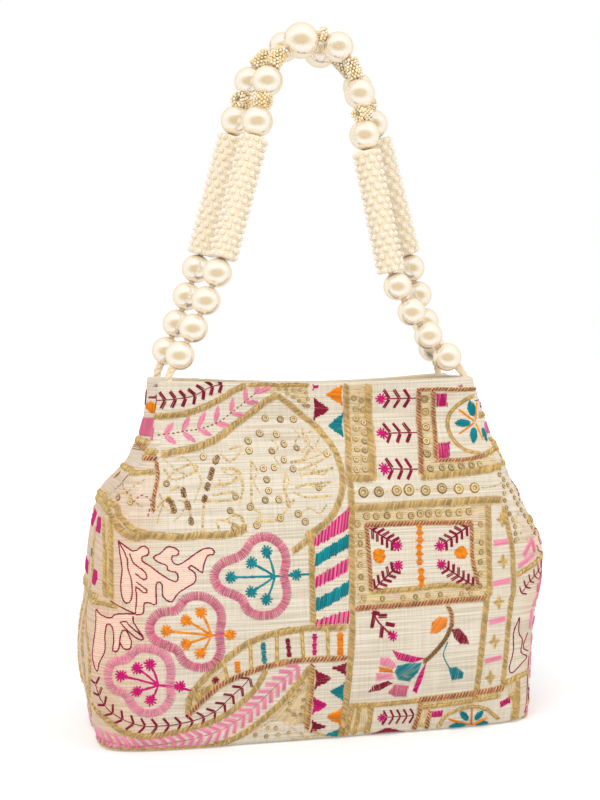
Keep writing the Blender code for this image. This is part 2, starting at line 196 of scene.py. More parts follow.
@dataclass(frozen=True)
class Finish:
    """A plain finish: one Principled shader, mottled a little, with a fine bump.

    Attributes:
        name: Name of the material.
        colour: Its linear colour.
        roughness: From 0, polished, to 1, dull.
        metallic: From 0 to 1.
        coat: Weight of a clear coat.
        sheen: Weight of the fuzz of fibres.
        mottle: How far the mottling darkens the colour.
        grain: Size of the mottling, in metres.
        bump: Height of the bump, in metres.
    """

    name: str
    colour: Colour
    roughness: float
    metallic: float = 0.0
    coat: float = 0.0
    sheen: float = 0.0
    mottle: float = 0.15
    grain: float = 0.002
    bump: float = 0.00005

    def material(self) -> bpy.types.Material:
        """Makes the material.

        Returns:
            A procedural material in Object coordinates.
        """
        inputs = {
            "Roughness": self.roughness,
            "Metallic": self.metallic,
            "Coat Weight": self.coat,
            "Coat Roughness": 0.12,
            "Sheen Weight": self.sheen,
        }
        made, tree, shader = principled(self.name, inputs)
        place = added(tree, "TexCoord", "Object")
        noise = added(tree, "TexNoise", "Fac", {"Scale": 1 / self.grain, "Vector": place})
        colour = mixed(tree, noise, *tones(self.colour, self.mottle))
        normal = added(tree, "Bump", "Normal", {"Distance": self.bump, "Height": noise})
        feed(tree, shader, {"Base Color": colour, "Normal": normal})
        return made


@dataclass(frozen=True)
class PearlFinish:
    """Imitation pearl: a cream body, yellower where it turns away, under a clear lacquer.

    Attributes:
        name: Name of the material.
        face: Its linear colour where it faces the eye.
        rim: Its linear colour where it turns away.
        roughness: From 0, polished, to 1, dull.
        mirror: How much of it mirrors the room.
    """

    name: str
    face: Colour
    rim: Colour
    roughness: float = 0.16
    mirror: float = 0.6

    def material(self) -> bpy.types.Material:
        """Makes the material.

        Returns:
            A procedural material whose colour goes from face to rim by how far it turns away.
        """
        inputs = {
            "Roughness": self.roughness,
            "Metallic": self.mirror,
            "Specular Tint": (*self.rim, 1),
            "Coat Weight": 0.2,
            "Coat Roughness": 0.08,
        }
        made, tree, shader = principled(self.name, inputs)
        facing = added(tree, "LayerWeight", "Facing", {"Blend": 0.35})
        feed(tree, shader, {"Base Color": mixed(tree, facing, self.face, self.rim)})
        return made


@dataclass(frozen=True)
class SlubFinish:
    """The bag's cloth: raw silk with uneven threads across it, tinted peach towards its sides by painted
    warm bounce light.

    Its UV map holds the distance round the bag from the middle of the front or back, and the height,
    both in metres.

    Attributes:
        name: Name of the material.
        cream: Linear colour of its threads.
        shadow: Linear colour between them.
        peach: What the painted warm bounce light multiplies the colour by, a peach tint.
        threads_per_metre: How many threads there are each way.
        slub_length: Thick places along a metre of a thread that runs round the bag.
        warp_length: Thick places along a metre of an upright thread.
        roughness: From 0, polished, to 1, dull.
    """

    name: str = "slub_silk"
    cream: Colour = linear(228, 218, 200)
    shadow: Colour = linear(198, 185, 162)
    # Painted warm bounce light: the peach tint that the cloth takes towards its sides
    peach: Colour = linear(255, 229, 214)
    threads_per_metre: float = 1150.0
    slub_length: float = 22.0
    warp_length: float = 45.0
    roughness: float = 0.75

    def material(self) -> bpy.types.Material:
        """Makes the material.

        Returns:
            A procedural material in the cloth's own UV coordinates.
        """
        made, tree, shader = principled(self.name, {"Roughness": self.roughness, "Sheen Weight": 0.15})
        place = added(tree, "UVMap", "UV", uv_map="cloth")
        round_it = {"Scale": (self.slub_length, self.threads_per_metre, 1.0), "Vector": place}
        upright = {"Scale": (self.threads_per_metre, self.warp_length, 1.0), "Vector": place}
        stretch = added(tree, "Mapping", "Vector", round_it)
        slub = added(tree, "TexNoise", "Fac", {"Scale": 1.0, "Detail": 1.5, "Vector": stretch})
        warp = added(tree, "Mapping", "Vector", upright)
        fibre = added(tree, "TexNoise", "Fac", {"Scale": 1.0, "Vector": warp})
        both = added(tree, "Math", "Value", {0: fibre, 1: 0.4, 2: slub}, operation="MULTIPLY_ADD")
        share = added(tree, "MapRange", "Result", {"From Min": 0.50, "From Max": 0.84, "Value": both})
        cloth = mixed(tree, share, self.shadow, self.cream)
        # Painted warm bounce light: the cloth's colour is multiplied by a peach tint as far as the point
        # attribute says
        warm_light = added(tree, "Attribute", "Fac", attribute_name="warm_light")
        warm_lit = mixed(tree, warm_light, cloth, self.peach, blend_type="MULTIPLY")
        normal = added(tree, "Bump", "Normal", {"Distance": 0.00012, "Strength": 0.5, "Height": both})
        feed(tree, shader, {"Base Color": warm_lit, "Normal": normal})
        return made


@dataclass
class Shape:
    """Points with faces, and what is kept on them.

    Attributes:
        points: Places of the points, one row each.
        faces: Arrays of faces, each array with faces of one size.
        slots: For each array of faces, the finish of each face.
        shade: A number for each point, which thread finishes darken by.
        cloth: For each corner of each face in turn, its distance round the bag and its height.
        warm_light: For each point, how much painted warm bounce light, a peach tint, the cloth takes.
    """

    points: Array
    faces: list[Array]
    slots: list[Array] = field(default_factory=list)
    shade: Array | None = None
    cloth: Array | None = None
    warm_light: Array | None = None

    def placed(self, name: str, finishes: list[bpy.types.Material]) -> bpy.types.Object:
        """Makes a smooth-shaded object of the shape, at the origin.

        Args:
            name: Name of the object.
            finishes: Its materials, which slots count from 0.

        Returns:
            The object, in the scene.
        """
        mesh = bpy.data.meshes.new(name)
        sizes = np.concatenate([np.full(len(f), f.shape[1]) for f in self.faces])
        corners = np.concatenate([f.ravel() for f in self.faces]).astype(np.int32)
        mesh.vertices.add(len(self.points))
        mesh.vertices.foreach_set("co", self.points.astype(np.float32).ravel())
        mesh.loops.add(len(corners))
        mesh.loops.foreach_set("vertex_index", corners)
        mesh.polygons.add(len(sizes))
        starts = np.concatenate([[0], np.cumsum(sizes)[:-1]]).astype(np.int32)
        mesh.polygons.foreach_set("loop_start", starts)
        mesh.polygons.foreach_set("use_smooth", np.ones(len(sizes), bool))
        if self.slots:
            mesh.polygons.foreach_set("material_index", np.concatenate(self.slots).astype(np.int32))
        mesh.update(calc_edges=True)
        mesh.validate()
        for finish in finishes:
            mesh.materials.append(finish)
        if self.cloth is not None:
            layer = mesh.uv_layers.new(name="cloth")
            layer.data.foreach_set("uv", self.cloth.astype(np.float32).ravel())
        # The second attribute holds the painted warm bounce light on the cloth
        for name_of, values in (("shade", self.shade), ("warm_light", self.warm_light)):
            if values is not None:
                attribute = mesh.attributes.new(name_of, "FLOAT", "POINT")
                attribute.data.foreach_set("value", values.astype(np.float32))
        obj = bpy.data.objects.new(name, mesh)
        bpy.context.scene.collection.objects.link(obj)
        return obj


def joined(shapes: list[Shape]) -> Shape:
    """Puts several shapes together, with their faces renumbered.

    Args:
        shapes: The shapes.

    Returns:
        One shape.
    """
    offsets = np.cumsum([0, *(len(shape.points) for shape in shapes[:-1])])
    faces = [f + offset for shape, offset in zip(shapes, offsets) for f in shape.faces]
    slots = [slot for shape in shapes for slot in shape.slots]
    return Shape(np.concatenate([shape.points for shape in shapes]), faces, slots)


def full_turn(count: int, start: float = 0.0) -> Array:
    """Angles at even steps round a circle, the first one a share of a step on."""
    return 2 * np.pi * (np.arange(count) + start) / count


def square_to(axis: Array) -> tuple[Array, Array]:
    """Finds two unit directions square to an axis and to each other.

    Args:
        axis: A unit direction.

    Returns:
        The two directions.
    """
    across = np.cross(axis, np.array([0.0, 1.0, 0.0]))
    across /= np.linalg.norm(across)
    return across, np.cross(axis, across)


def spokes(angles: Array, across: Array, up: Array) -> Array:
    """Unit directions at angles that are measured from one direction towards another."""
    return np.cos(angles)[:, None] * across + np.sin(angles)[:, None] * up


def grid_faces(rows: int, columns: int, closed: bool = False) -> Array:
    """Makes the quads of a grid of points, numbered row by row. Each row is a ring, and the quads face
    out when it runs anticlockwise seen from its last row.

    Args:
        rows: Number of rows.
        columns: Number of points in a row.
        closed: Whether the last row joins the first.

    Returns:
        One quad a row.
    """
    levels = np.arange(rows if closed else rows - 1)[:, None]
    along = np.arange(columns)[None, :]
    near, far = levels * columns, ((levels + 1) % rows) * columns
    following = (along + 1) % columns
    quads = np.stack([near + along, near + following, far + following, far + along], axis=-1)
    return quads.reshape(-1, 4)


def end_faces(count: int, sides: int) -> Array:
    """Makes the triangles that close both ends of a tube, each to a point of its own.

    Args:
        count: Number of the tube's points. The two end points follow them.
        sides: Points in a ring.

    Returns:
        One triangle a row.
    """
    ring = np.arange(sides)
    following = (ring + 1) % sides
    last = count - sides
    start = np.stack([following, ring, np.full(sides, count)], axis=1)
    end = np.stack([last + ring, last + following, np.full(sides, count + 1)], axis=1)
    return np.concatenate([start, end])


def swept(path: Array, radius: float, sides: int) -> Shape:
    """Makes a round tube along a path, closed at both ends. Its rings stand square to the path and are
    turned alike.

    Args:
        path: Points of the centreline, one row each.
        radius: Radius of the tube.
        sides: Points in a ring.

    Returns:
        The tube.
    """
    along = np.gradient(path, axis=0)
    along /= np.linalg.norm(along, axis=1, keepdims=True)
    across = np.cross(along, np.array([0.0, 1.0, 0.13]))
    across /= np.linalg.norm(across, axis=1, keepdims=True)
    up = np.cross(along, across)
    turn = full_turn(sides)[None, :, None]
    rings = path[:, None] + radius * np.cos(turn) * across[:, None] + radius * np.sin(turn) * up[:, None]
    points = np.concatenate([rings.reshape(-1, 3), path[[0, -1]]])
    return Shape(points, [grid_faces(len(path), sides), end_faces(len(points) - 2, sides)])


def turned(profile: Array, sides: int, centre: Array, axis: Array) -> Shape:
    """Turns a closed profile about an axis: the profile's first column is the radius and its second the
    place along the axis, and it runs down its outer side.

    Args:
        profile: The profile, one point a row.
        sides: Points round the axis.
        centre: Where the profile's zero is.
        axis: Direction of the axis.

    Returns:
        A ring-shaped solid.
    """
    axis = axis / np.linalg.norm(axis)
    out = spokes(full_turn(sides), *square_to(axis))
    points = centre + profile[:, None, :1] * out[None] + profile[:, None, 1:] * axis
    faces = grid_faces(len(profile), sides, closed=True)[:, ::-1]
    return Shape(points.reshape(-1, 3), [faces])


@dataclass(frozen=True)
class Station:
    """One horizontal section of the bag: how far it reaches each way, and how it is pinched and folded.

    Attributes:
        height: Its height over the table.
        left: How far it reaches to the left.
        right: How far it reaches to the right.
        half_depth: Half its depth.
        crown: How far its long sides swell in the middle, or are pinched if it is below 0.
        fold: How far its ends are folded in.
    """

    height: float
    left: float
    right: float
    half_depth: float
    crown: float
    fold: float


@dataclass
class ClothForm:
    """The form of the bag's cloth, with the same sections as its solid and some soft unevenness.

    A section is a square loop pushed onto a superellipse and stretched to the section's reach. Its long
    sides are crowned or pinched, and its short sides are folded inwards. The heights between stations
    follow a monotone cubic.

    Attributes:
        height: Height of the mouth.
        mouth_width: Width of the mouth.
        mouth_depth: Depth of the mouth at its ends.
        mouth_shift: How far its middle is to the right.
        mouth_sag: How far the middle of the mouth's edges sags.
        sag_reach: How far below the mouth the sag is gone.
        shut_depth: Half the depth of the mouth in its pinched middle.
        squareness: Power of the superellipse.
        fold_sharpness: Power that the folds narrow with, across an end.
        fold_reach: Power that they fade with, along a side.
        pinch_reach: Power that the pinch fades with, along a side.
        hem_height: Height of the folded hem.
        hem_thickness: Its thickness.
        hem_step: Height of the step at its lower edge.
        cloth: Thickness of the cloth.
        lining: Thickness of the lining.
        gap: Gap between them.
        long_cells: Cells along a long side.
        short_cells: Cells along an end.
        levels: Levels from the table to the mouth.
        reach: How far round from the middle of a side the surface is measured.
        reach_steps: Steps in that.
    """

    height: float = 0.188
    mouth_width: float = 0.187
    mouth_depth: float = 0.053
    mouth_shift: float = -0.0010
    mouth_sag: float = 0.0030
    sag_reach: float = 0.040
    shut_depth: float = 0.00865
    squareness: float = 6.0
    fold_sharpness: float = 1.4
    fold_reach: float = 8.0
    pinch_reach: float = 1.5
    hem_height: float = 0.018
    hem_thickness: float = 0.0046
    hem_step: float = 0.003
    cloth: float = 0.0022
    lining: float = 0.0009
    gap: float = 0.0003
    long_cells: int = 120
    short_cells: int = 56
    levels: int = 100
    reach: float = 0.185
    reach_steps: int = 740

    def __post_init__(self) -> None:
        """Works out the sections, and the cloth's surface measured along itself from the middle of the
        front and of the back."""
        pinch = self.mouth_depth / 2 - self.shut_depth
        left = self.mouth_width / 2 - self.mouth_shift
        right = self.mouth_width / 2 + self.mouth_shift
        hem = self.height - self.hem_height
        half = self.mouth_depth / 2
        self.stations = [
            Station(0.0, 0.1190, 0.1175, 0.040, 0.0, 0.0),
            Station(0.046, 0.1250, 0.1185, 0.045, 0.002, 0.0),
            Station(0.094, 0.1195, 0.1250, 0.042, 0.002, 0.0),
            Station(0.125, 0.1165, 0.1120, 0.038, 0.0, 0.004),
            Station(0.147, 0.1010, 0.1045, 0.033, -0.008, 0.011),
            Station(hem, left + 0.0015, right + 0.0055, half, -pinch, 0.018),
            Station(self.height, left, right, half, -pinch, 0.018),
        ]
        self.heights = np.linspace(0.0, self.height, self.levels)
        self.rings = np.stack([self.section(z) for z in self.heights])
        steps = np.linalg.norm(np.diff(self.rings, axis=1, append=self.rings[:, :1]), axis=2)
        self.girths = steps.sum(axis=1)
        self.surfaces = {side: self._measured(side) for side in Side}

    def station_at(self, height: float) -> Station:
        """Works out a section of the bag, by a monotone cubic through the stations.

        Args:
            height: Its height.

        Returns:
            The section.
        """
        marks = np.array([s.height for s in self.stations])
        columns = np.array([(s.left, s.right, s.half_depth, s.crown, s.fold) for s in self.stations]).T
        spans = np.diff(marks)
        slopes = np.diff(columns, axis=1) / spans
        before, after = slopes[:, :-1], slopes[:, 1:]
        same = before * after > 0
        bends = np.where(same, 2 * before * after / np.where(same, before + after, 1.0), 0.0)
        flat = np.zeros((len(columns), 1))
        tangents = np.concatenate([slopes[:, :1], bends, flat], axis=1)
        i = int(np.clip(np.searchsorted(marks, height) - 1, 0, len(spans) - 1))
        t = (height - marks[i]) / spans[i]
        rise = columns[:, i + 1] - columns[:, i]
        bend = (tangents[:, i] + tangents[:, i + 1]) * spans[i] - 2 * rise
        lift = 3 * rise - (2 * tangents[:, i] + tangents[:, i + 1]) * spans[i]
        values = columns[:, i] + t * (tangents[:, i] * spans[i] + t * (lift + t * bend))
        return Station(height, *(float(value) for value in values))

    def square_loop(self) -> tuple[Array, Array]:
        """Makes points round a unit square, closer together near its corners.

        Returns:
            The points across and through the bag, from the front left corner.
        """
        along, across = (
            np.sin(math.pi / 2 * np.linspace(-1, 1, cells, endpoint=False))
            for cells in (self.long_cells, self.short_cells)
        )
        long_side, end = np.ones_like(along), np.ones_like(across)
        x = np.concatenate([along, end, -along, -end])
        y = np.concatenate([-long_side, across, long_side, -across])
        return x, y

    def section(self, height: float, inset: float = 0.0) -> Array:
        """The closed outline of the bag at a height, brought in by an inset.

        Args:
            height: Height above the table.
            inset: How far the outline is brought in.

        Returns:
            Points of the outline, one row each.
        """
        s = self.station_at(height)
        slant = s.fold / s.half_depth
        corner_inset = inset * (math.hypot(1, slant) + slant)
        half_depth = s.half_depth - inset
        fold = s.fold * half_depth / s.half_depth
        x, y = self.square_loop()
        power = self.squareness
        round_off = (np.abs(x) ** power + np.abs(y) ** power) ** (1 / power)
        x, y = x / round_off, y / round_off
        outer_half = np.where(x < 0, s.left, s.right)
        half_width = outer_half - corner_inset
        fold_in = fold * (1 - np.abs(y) ** self.fold_sharpness) * np.abs(x) ** self.fold_reach
        middle = (1 - (x * half_width / outer_half) ** 2) ** self.pinch_reach
        swell, pucker = self.dents(x, y, height)
        sag_share = max(0.0, 1 - (self.height - height) / self.sag_reach)
        return np.stack(
            [
                half_width * x - np.sign(x) * (fold_in + pucker),
                (half_depth + s.crown * middle + swell) * y,
                height - self.mouth_sag * sag_share * middle * np.abs(y),
            ],
            axis=1,
        )

    def dents(self, x: Array, y: Array, height: float) -> tuple[Array, Array]:
        """The cloth's unevenness at a height: gathers that hang from the hem, slow swells lower down, and
        puckers across the folded ends. All of it fades out at the hem and at the table.

        Args:
            x: Place across the bag, from -1 to 1.
            y: Place through it, from -1 at the front to 1 at the back.
            height: Height above the table.

        Returns:
            How far the long sides swell outwards, and how far the short sides are drawn in.
        """
        hem = self.height - self.hem_height
        under_hem = np.clip((hem - height) / 0.018, 0, 1) * np.exp(-(((hem - height) / 0.045) ** 2))
        rise = math.sin(math.pi * min(1.0, height / (hem - 0.01))) if height < hem - 0.01 else 0.0
        turn = np.where(y < 0, 0.0, 2.1)
        gathers = np.cos(17 * x + 1.3 * np.sin(5 * x + turn) + turn) + 0.6 * np.cos(29 * x + 2.0 + turn)
        slow = np.sin(3.1 * x + 34 * height + turn) + 0.6 * np.cos(6.3 * x - 52 * height + 0.7 + turn)
        crease = np.exp(-(((x + 0.62 + 1.9 * (hem - height)) / 0.07) ** 2)) * under_hem
        long_side = np.abs(y) ** 2 * (1 - np.abs(x) ** 6)
        swell = long_side * (0.0009 * gathers * under_hem + 0.0012 * slow * rise - 0.0022 * crease)
        ends = np.abs(x) ** 8 * (1 - np.abs(y) ** 4)
        folds = np.sin(260 * height + 2.2 * y + turn) + 0.5 * np.sin(470 * height - 3 * y)
        pucker = ends * (0.0009 * folds * under_hem + 0.0008 * np.sin(95 * height + 3 * y) * rise)
        return swell, pucker

    def wall_at(self, height: float) -> float:
        """Thickness of the wall: the cloth, and the folded hem at the mouth."""
        share = np.clip((height - self.height + self.hem_height + self.hem_step) / self.hem_step, 0, 1)
        return float(self.cloth + (self.hem_thickness - self.cloth) * share)

    def _measured(self, side: Side) -> Array:
        """The surface as a table over height and distance along the cloth from the middle of one side.

        Args:
            side: The side of the bag whose middle distances start from.

        Returns:
            Points, indexed by level and by step of distance from -reach to reach.
        """
        start = self.long_cells // 2
        if side is Side.BACK:
            start += self.long_cells + self.short_cells
        rings = np.roll(self.rings, -start, axis=1)
        rings = np.concatenate([rings, rings[:, :1]], axis=1)
        steps = np.linalg.norm(np.diff(rings, axis=1), axis=2)
        along = np.concatenate([np.zeros((len(rings), 1)), np.cumsum(steps, axis=1)], axis=1)
        wanted = np.linspace(-self.reach, self.reach, self.reach_steps)
        table = np.empty((len(rings), len(wanted), 3))
        for level, (ring, marks) in enumerate(zip(rings, along)):
            table[level] = np.stack([np.interp(wanted % marks[-1], marks, c) for c in ring.T], axis=1)
        return table

    def on(self, side: Side, along: Array, height: Array) -> tuple[Array, Array]:
        """Places on the cloth, and the outward direction there.

        Args:
            side: The side whose middle distances are measured from.
            along: Distances round the bag, to the right as that side is faced.
            height: Heights.

        Returns:
            Points and unit normals, one row each.
        """
        table = self.surfaces[side]
        rows, columns = table.shape[:2]
        across = np.cross(np.gradient(table, axis=1), np.gradient(table, axis=0))
        across /= np.linalg.norm(across, axis=2, keepdims=True)
        u = np.clip((np.asarray(along) + self.reach) / (2 * self.reach), 0, 1) * (columns - 1)
        v = np.clip(np.asarray(height) / self.height, 0, 1) * (rows - 1)
        i, j = np.minimum(v.astype(int), rows - 2), np.minimum(u.astype(int), columns - 2)
        a, b = (v - i)[..., None], (u - j)[..., None]
        places, normals = (
            (t[i, j] * (1 - a) + t[i + 1, j] * a) * (1 - b)
            + (t[i, j + 1] * (1 - a) + t[i + 1, j + 1] * a) * b
            for t in (table, across)
        )
        return places, normals / np.linalg.norm(normals, axis=-1, keepdims=True)


def smooth_path(points: Array, step: float, closed: bool = False) -> Array:
    """A smooth line through points (Catmull-Rom), with its own points at even distances.

    Args:
        points: The points that the line goes through, one row each.
        step: Distance between the points of the result.
        closed: Whether the line comes back to its start.

    Returns:
        Points along the line, one row each.
    """
    points = np.asarray(points, float)
    if closed:
        points = np.concatenate([points, points[:1]])
        before, after = points[-2], points[1]
    else:
        before, after = 2 * points[0] - points[1], 2 * points[-1] - points[-2]
    knots = np.concatenate([[before], points, [after]])
    t = np.linspace(0, 1, 24, endpoint=False)[None, :, None]
    a, b, c, d = (knots[i : len(knots) - 3 + i, None] for i in range(4))
    bend, turn = 2 * a - 5 * b + 4 * c - d, 3 * b - a - 3 * c + d
    curve = 0.5 * (2 * b + (c - a) * t + bend * t**2 + turn * t**3)
    curve = np.concatenate([curve.reshape(-1, points.shape[1]), points[-1:]])
    along = np.concatenate([[0], np.cumsum(np.linalg.norm(np.diff(curve, axis=0), axis=1))])
    count = max(2, round(along[-1] / step) + 1)
    marks = np.linspace(0, along[-1], count)
    return np.stack([np.interp(marks, along, column) for column in curve.T], axis=1)


def headings(path: Array) -> tuple[Array, Array]:
    """Finds a flat path's directions.

    Args:
        path: Its points, one row each.

    Returns:
        Unit directions along it at its points, and to the left of it.
    """
    along = np.gradient(path, axis=0)
    along /= np.maximum(np.linalg.norm(along, axis=1, keepdims=True), 1e-9)
    return along, np.stack([-along[:, 1], along[:, 0]], axis=1)


@dataclass
class Needlework:
    """Everything that is stitched on one side of the bag, drawn in millimetres on the cloth: the first
    number is the distance to the right of the middle of that side, the second the height.

    Attributes:
        form: The cloth.
        side: The side of the bag that it is on.
        flip: 1, or -1 to draw it left for right.
        seed: Start of the random numbers that make the stitches uneven.
        stitches: Groups of stitches: their starts, ends, widths, lifts and finishes' places.
        sequins: Groups of ring sequins: their middles and radii.
    """

    form: ClothForm
    side: Side
    flip: float = 1.0
    seed: int = 5
    stitches: list[tuple[Array, Array, Array, Array, Array]] = field(default_factory=list)
    sequins: list[tuple[Array, Array]] = field(default_factory=list)

    def __post_init__(self) -> None:
        """Starts the random numbers."""
        self.random = np.random.default_rng(self.seed)

    def stitch(
        self, starts: Array, ends: Array, thread: Thread, width: float = 0.8, lift: float = 0.35
    ) -> None:
        """Adds straight stitches.

        Args:
            starts: Where the stitches start, one row each.
            ends: Where they end.
            thread: What they are made with.
            width: Width of the thread.
            lift: How far it stands off the cloth.
        """
        starts, ends = np.atleast_2d(starts).astype(float), np.atleast_2d(ends).astype(float)
        count = len(starts)
        starts = starts + self.random.normal(0, 0.07, starts.shape)
        ends = ends + self.random.normal(0, 0.07, ends.shape)
        self.stitches.append(
            (
                starts,
                ends,
                width * self.random.uniform(0.85, 1.15, count),
                lift * self.random.uniform(0.85, 1.15, count),
                np.full(count, thread.value),
            )
        )

    def line(self, points: list, thread: Thread, length: float = 2.4, width: float = 0.8) -> None:
        """Stitches a line of stem stitches, each one overlapping the next a little.

        Args:
            points: Points that the line goes through.
            thread: What it is made with.
            length: Distance from one stitch to the next.
            width: Width of the thread.
        """
        path = smooth_path(np.array(points), length)
        along, _ = headings(path)
        self.stitch(path[:-1] - along[:-1] * 0.3, path[1:] + along[1:] * 0.3, thread, width, 0.4)

    def running(
        self, points: list, thread: Thread, length: float = 1.6, space: float = 0.9, width: float = 0.95
    ) -> None:
        """Stitches a line of running stitches with cloth between them.

        Args:
            points: Points that the line goes through.
            thread: What it is made with.
            length: Length of a stitch.
            space: Length of cloth after it.
            width: Width of the thread.
        """
        path = smooth_path(np.array(points), length + space)
        along, _ = headings(path)
        self.stitch(path, path + along * length, thread, width, 0.45)

    def braid(
        self,
        points: list,
        thread: Thread = Thread.GOLD,
        width: float = 3.2,
        pitch: float = 0.9,
        lean: float = 1.8,
    ) -> None:
        """Stitches a flat braid: slanted stitches that cross its width, edged by a fine cord on both
        sides. In a red gold one, every other stitch and the cords are gold.

        Args:
            points: Points that its middle goes through.
            thread: What it is made with.
            width: Its whole width.
            pitch: Distance from one slanted stitch to the next.
            lean: How far each stitch leans along the braid.
        """
        path = smooth_path(np.array(points), pitch)
        along, left = headings(path)
        half = width / 2 - 0.25
        red = thread is Thread.RED_GOLD
        for i, strand in enumerate((thread, Thread.GOLD) if red else (thread,)):
            turn = slice(i, None, 2 if red else 1)
            foot, lap = path[turn], left[turn] * half + along[turn] * lean / 2
            self.stitch(foot - lap, foot + lap, strand, pitch, 0.85)
        for edge in (-1, 1):
            rim = smooth_path(path + left * edge * (width / 2), 1.5)
            self.stitch(rim[:-1], rim[1:], Thread.GOLD if red else thread, 0.6, 0.5)

    def satin(
        self, outline: list, angle: float, thread: Thread, pitch: float = 0.62, lift: float = 0.45
    ) -> None:
        """Fills a closed outline with parallel stitches.

        Each stitch lies on a line of one direction, from where the line enters the outline to where it
        leaves it.

        Args:
            outline: Corners of the outline.
            angle: Direction of the stitches in degrees, 0 along the bag.
            thread: What they are made with.
            pitch: Distance between neighbouring stitches.
            lift: How far they stand off the cloth.
        """
        corners = np.asarray(outline, float)
        turn = math.radians(angle)
        run, step = np.array([math.cos(turn), math.sin(turn)]), np.array([-math.sin(turn), math.cos(turn)])
        u, v = corners @ run, corners @ step
        u2, v2 = np.roll(u, -1), np.roll(v, -1)
        levels = np.arange(v.min() + pitch / 2, v.max(), pitch)
        crosses = (v[None] > levels[:, None]) != (v2[None] > levels[:, None])
        share = (levels[:, None] - v) / np.where(v2 == v, 1.0, v2 - v)
        hits = np.sort(np.where(crosses, u + share * (u2 - u), np.inf), axis=1)
        for enter in range(0, hits.shape[1] - 1, 2):
            kept = np.isfinite(hits[:, enter + 1])
            if not kept.any():
                break
            lines = levels[kept, None] * step
            starts, ends = (hits[kept, column, None] * run + lines for column in (enter, enter + 1))
            self.stitch(starts, ends, thread, pitch * 1.25, lift)

    def ground(self, outline: list, thread: Thread, angle: float = 0.0, pitch: float = 1.0) -> None:
        """Fills a closed outline with rows of low stitches, no longer than five millimetres each, which
        lie under all the rest.

        Args:
            outline: Corners of the outline.
            thread: What they are made with.
            angle: Direction of the rows in degrees, 0 along the bag.
            pitch: Distance between rows.
        """
        first = len(self.stitches)
        self.satin(outline, angle, thread, pitch, 0.16)
        for i in range(first, len(self.stitches)):
            starts, ends, widths, lifts, threads = self.stitches[i]
            parts = np.maximum(1, np.ceil(np.linalg.norm(ends - starts, axis=1) / 5.0)).astype(int)
            row = np.repeat(np.arange(len(parts)), parts)
            place = np.arange(len(row)) - np.repeat(np.cumsum(parts) - parts, parts)
            step = (ends - starts)[row] / parts[row, None]
            foot = starts[row] + step * place[:, None]
            rest = (widths[row], lifts[row], threads[row])
            self.stitches[i] = (foot - step * 0.12, foot + step * 1.12, *rest)

    def leaf(self, root: Array, tip: Array, width: float, thread: Thread) -> None:
        """Stitches a pointed leaf or petal of long stitches: the outer ones are shorter and bow outwards.

        Args:
            root: Where it starts.
            tip: Where it ends.
            width: Its width.
            thread: What it is made with.
        """
        root, tip = np.asarray(root, float), np.asarray(tip, float)
        run = tip - root
        long = np.linalg.norm(run)
        run = run / long
        left = np.array([-run[1], run[0]])
        count = max(2, round(width / 0.6))
        place = np.linspace(-1, 1, count)[:, None]
        reach = 1 - 0.35 * place**2
        starts = root + left * place * width * 0.22 + run * long * (1 - reach) * 0.3
        ends = root + left * place * width * 0.42 + run * long * reach
        self.stitch(starts, ends, thread, width / count * 1.35, 0.5)

    def bar(self, start: Array, end: Array, width: float, thread: Thread) -> None:
        """Stitches a straight bar of long stitches side by side.

        Args:
            start: One end of it.
            end: The other end.
            width: Its width.
            thread: What it is made with.
        """
        start, end = np.asarray(start, float), np.asarray(end, float)
        run = (end - start) / np.linalg.norm(end - start)
        left = np.array([-run[1], run[0]])
        count = max(1, round(width / 0.7))
        place = (np.arange(count) - (count - 1) / 2)[:, None] * (width / count)
        self.stitch(start + left * place, end + left * place, thread, width / count * 1.3, 0.5)

    def rings(self, centres: list, radius: float = 1.6) -> None:
        """Adds ring sequins, which lie flat on the cloth.

        Args:
            centres: Their middles.
            radius: Their radius.
        """
        centres = np.atleast_2d(np.asarray(centres, float))
        self.sequins.append((centres, np.full(len(centres), radius)))

    def feather(
        self,
        points: list,
        thread: Thread,
        pitch: float = 5.0,
        barb: float = 4.5,
        back: float = 2.6,
        width: float = 0.9,
        stem: Thread | None = None,
    ) -> None:
        """Stitches a stem with a pair of barbs at even distances, which lean back towards its start.

        Args:
            points: Points that the stem goes through.
            thread: What the barbs are made with.
            pitch: Distance between pairs.
            barb: How far a barb reaches from the stem.
            back: How far it leans back.
            width: Width of a barb.
            stem: What the stem is made with, if it isn't the same.
        """
        self.line(points, stem or thread, 2.2, 0.7)
        path = smooth_path(np.array(points), pitch)
        along, left = headings(path)
        for side in (-1, 1):
            tips = path - along * back + left * side * barb
            for root, tip in zip(path, tips):
                self.bar(root, tip, width, thread)

    def star(
        self, centre: tuple, radius: float, thread: Thread, rays: int = 9, width: float = 0.36
    ) -> None:
        """Stitches a small flower or bud: short stitches that start near one point, all round it.

        Args:
            centre: The point.
            radius: How far the stitches reach.
            thread: What they are made with.
            rays: How many there are.
            width: Width of one, as a share of the radius.
        """
        turn = 2 * np.pi * (np.arange(rays) + self.random.uniform()) / rays
        spoke = np.stack([np.cos(turn), np.sin(turn)], axis=1)
        reach = radius * self.random.uniform(0.85, 1.15, (rays, 1))
        self.stitch(centre - spoke * radius * 0.15, centre + spoke * reach, thread, radius * width, 0.6)

    def comb(self, left: tuple, right: tuple, threads: list, pitch: float = 1.15) -> None:
        """Stitches a band of upright stitches with a little cloth between them.

        Args:
            left: The two ends of its first stitch.
            right: The two ends of its last stitch.
            threads: What the stitches are made with, in turn.
            pitch: Distance between stitches.
        """
        left, right = np.array(left), np.array(right)
        count = max(2, round(np.linalg.norm(right[0] - left[0]) / pitch))
        share = np.linspace(0, 1, count)[:, None]
        tops, feet = (first + (last - first) * share for first, last in zip(left, right))
        lean = np.array([0.5, 0.0])
        for i, thread in enumerate(threads):
            turn = slice(i, None, len(threads))
            ragged = self.random.uniform(-0.5, 0.5, (len(tops[turn]), 1)) * (0, 1)
            self.stitch(tops[turn] + ragged + lean, feet[turn] + ragged - lean, thread, 1.45, 0.5)

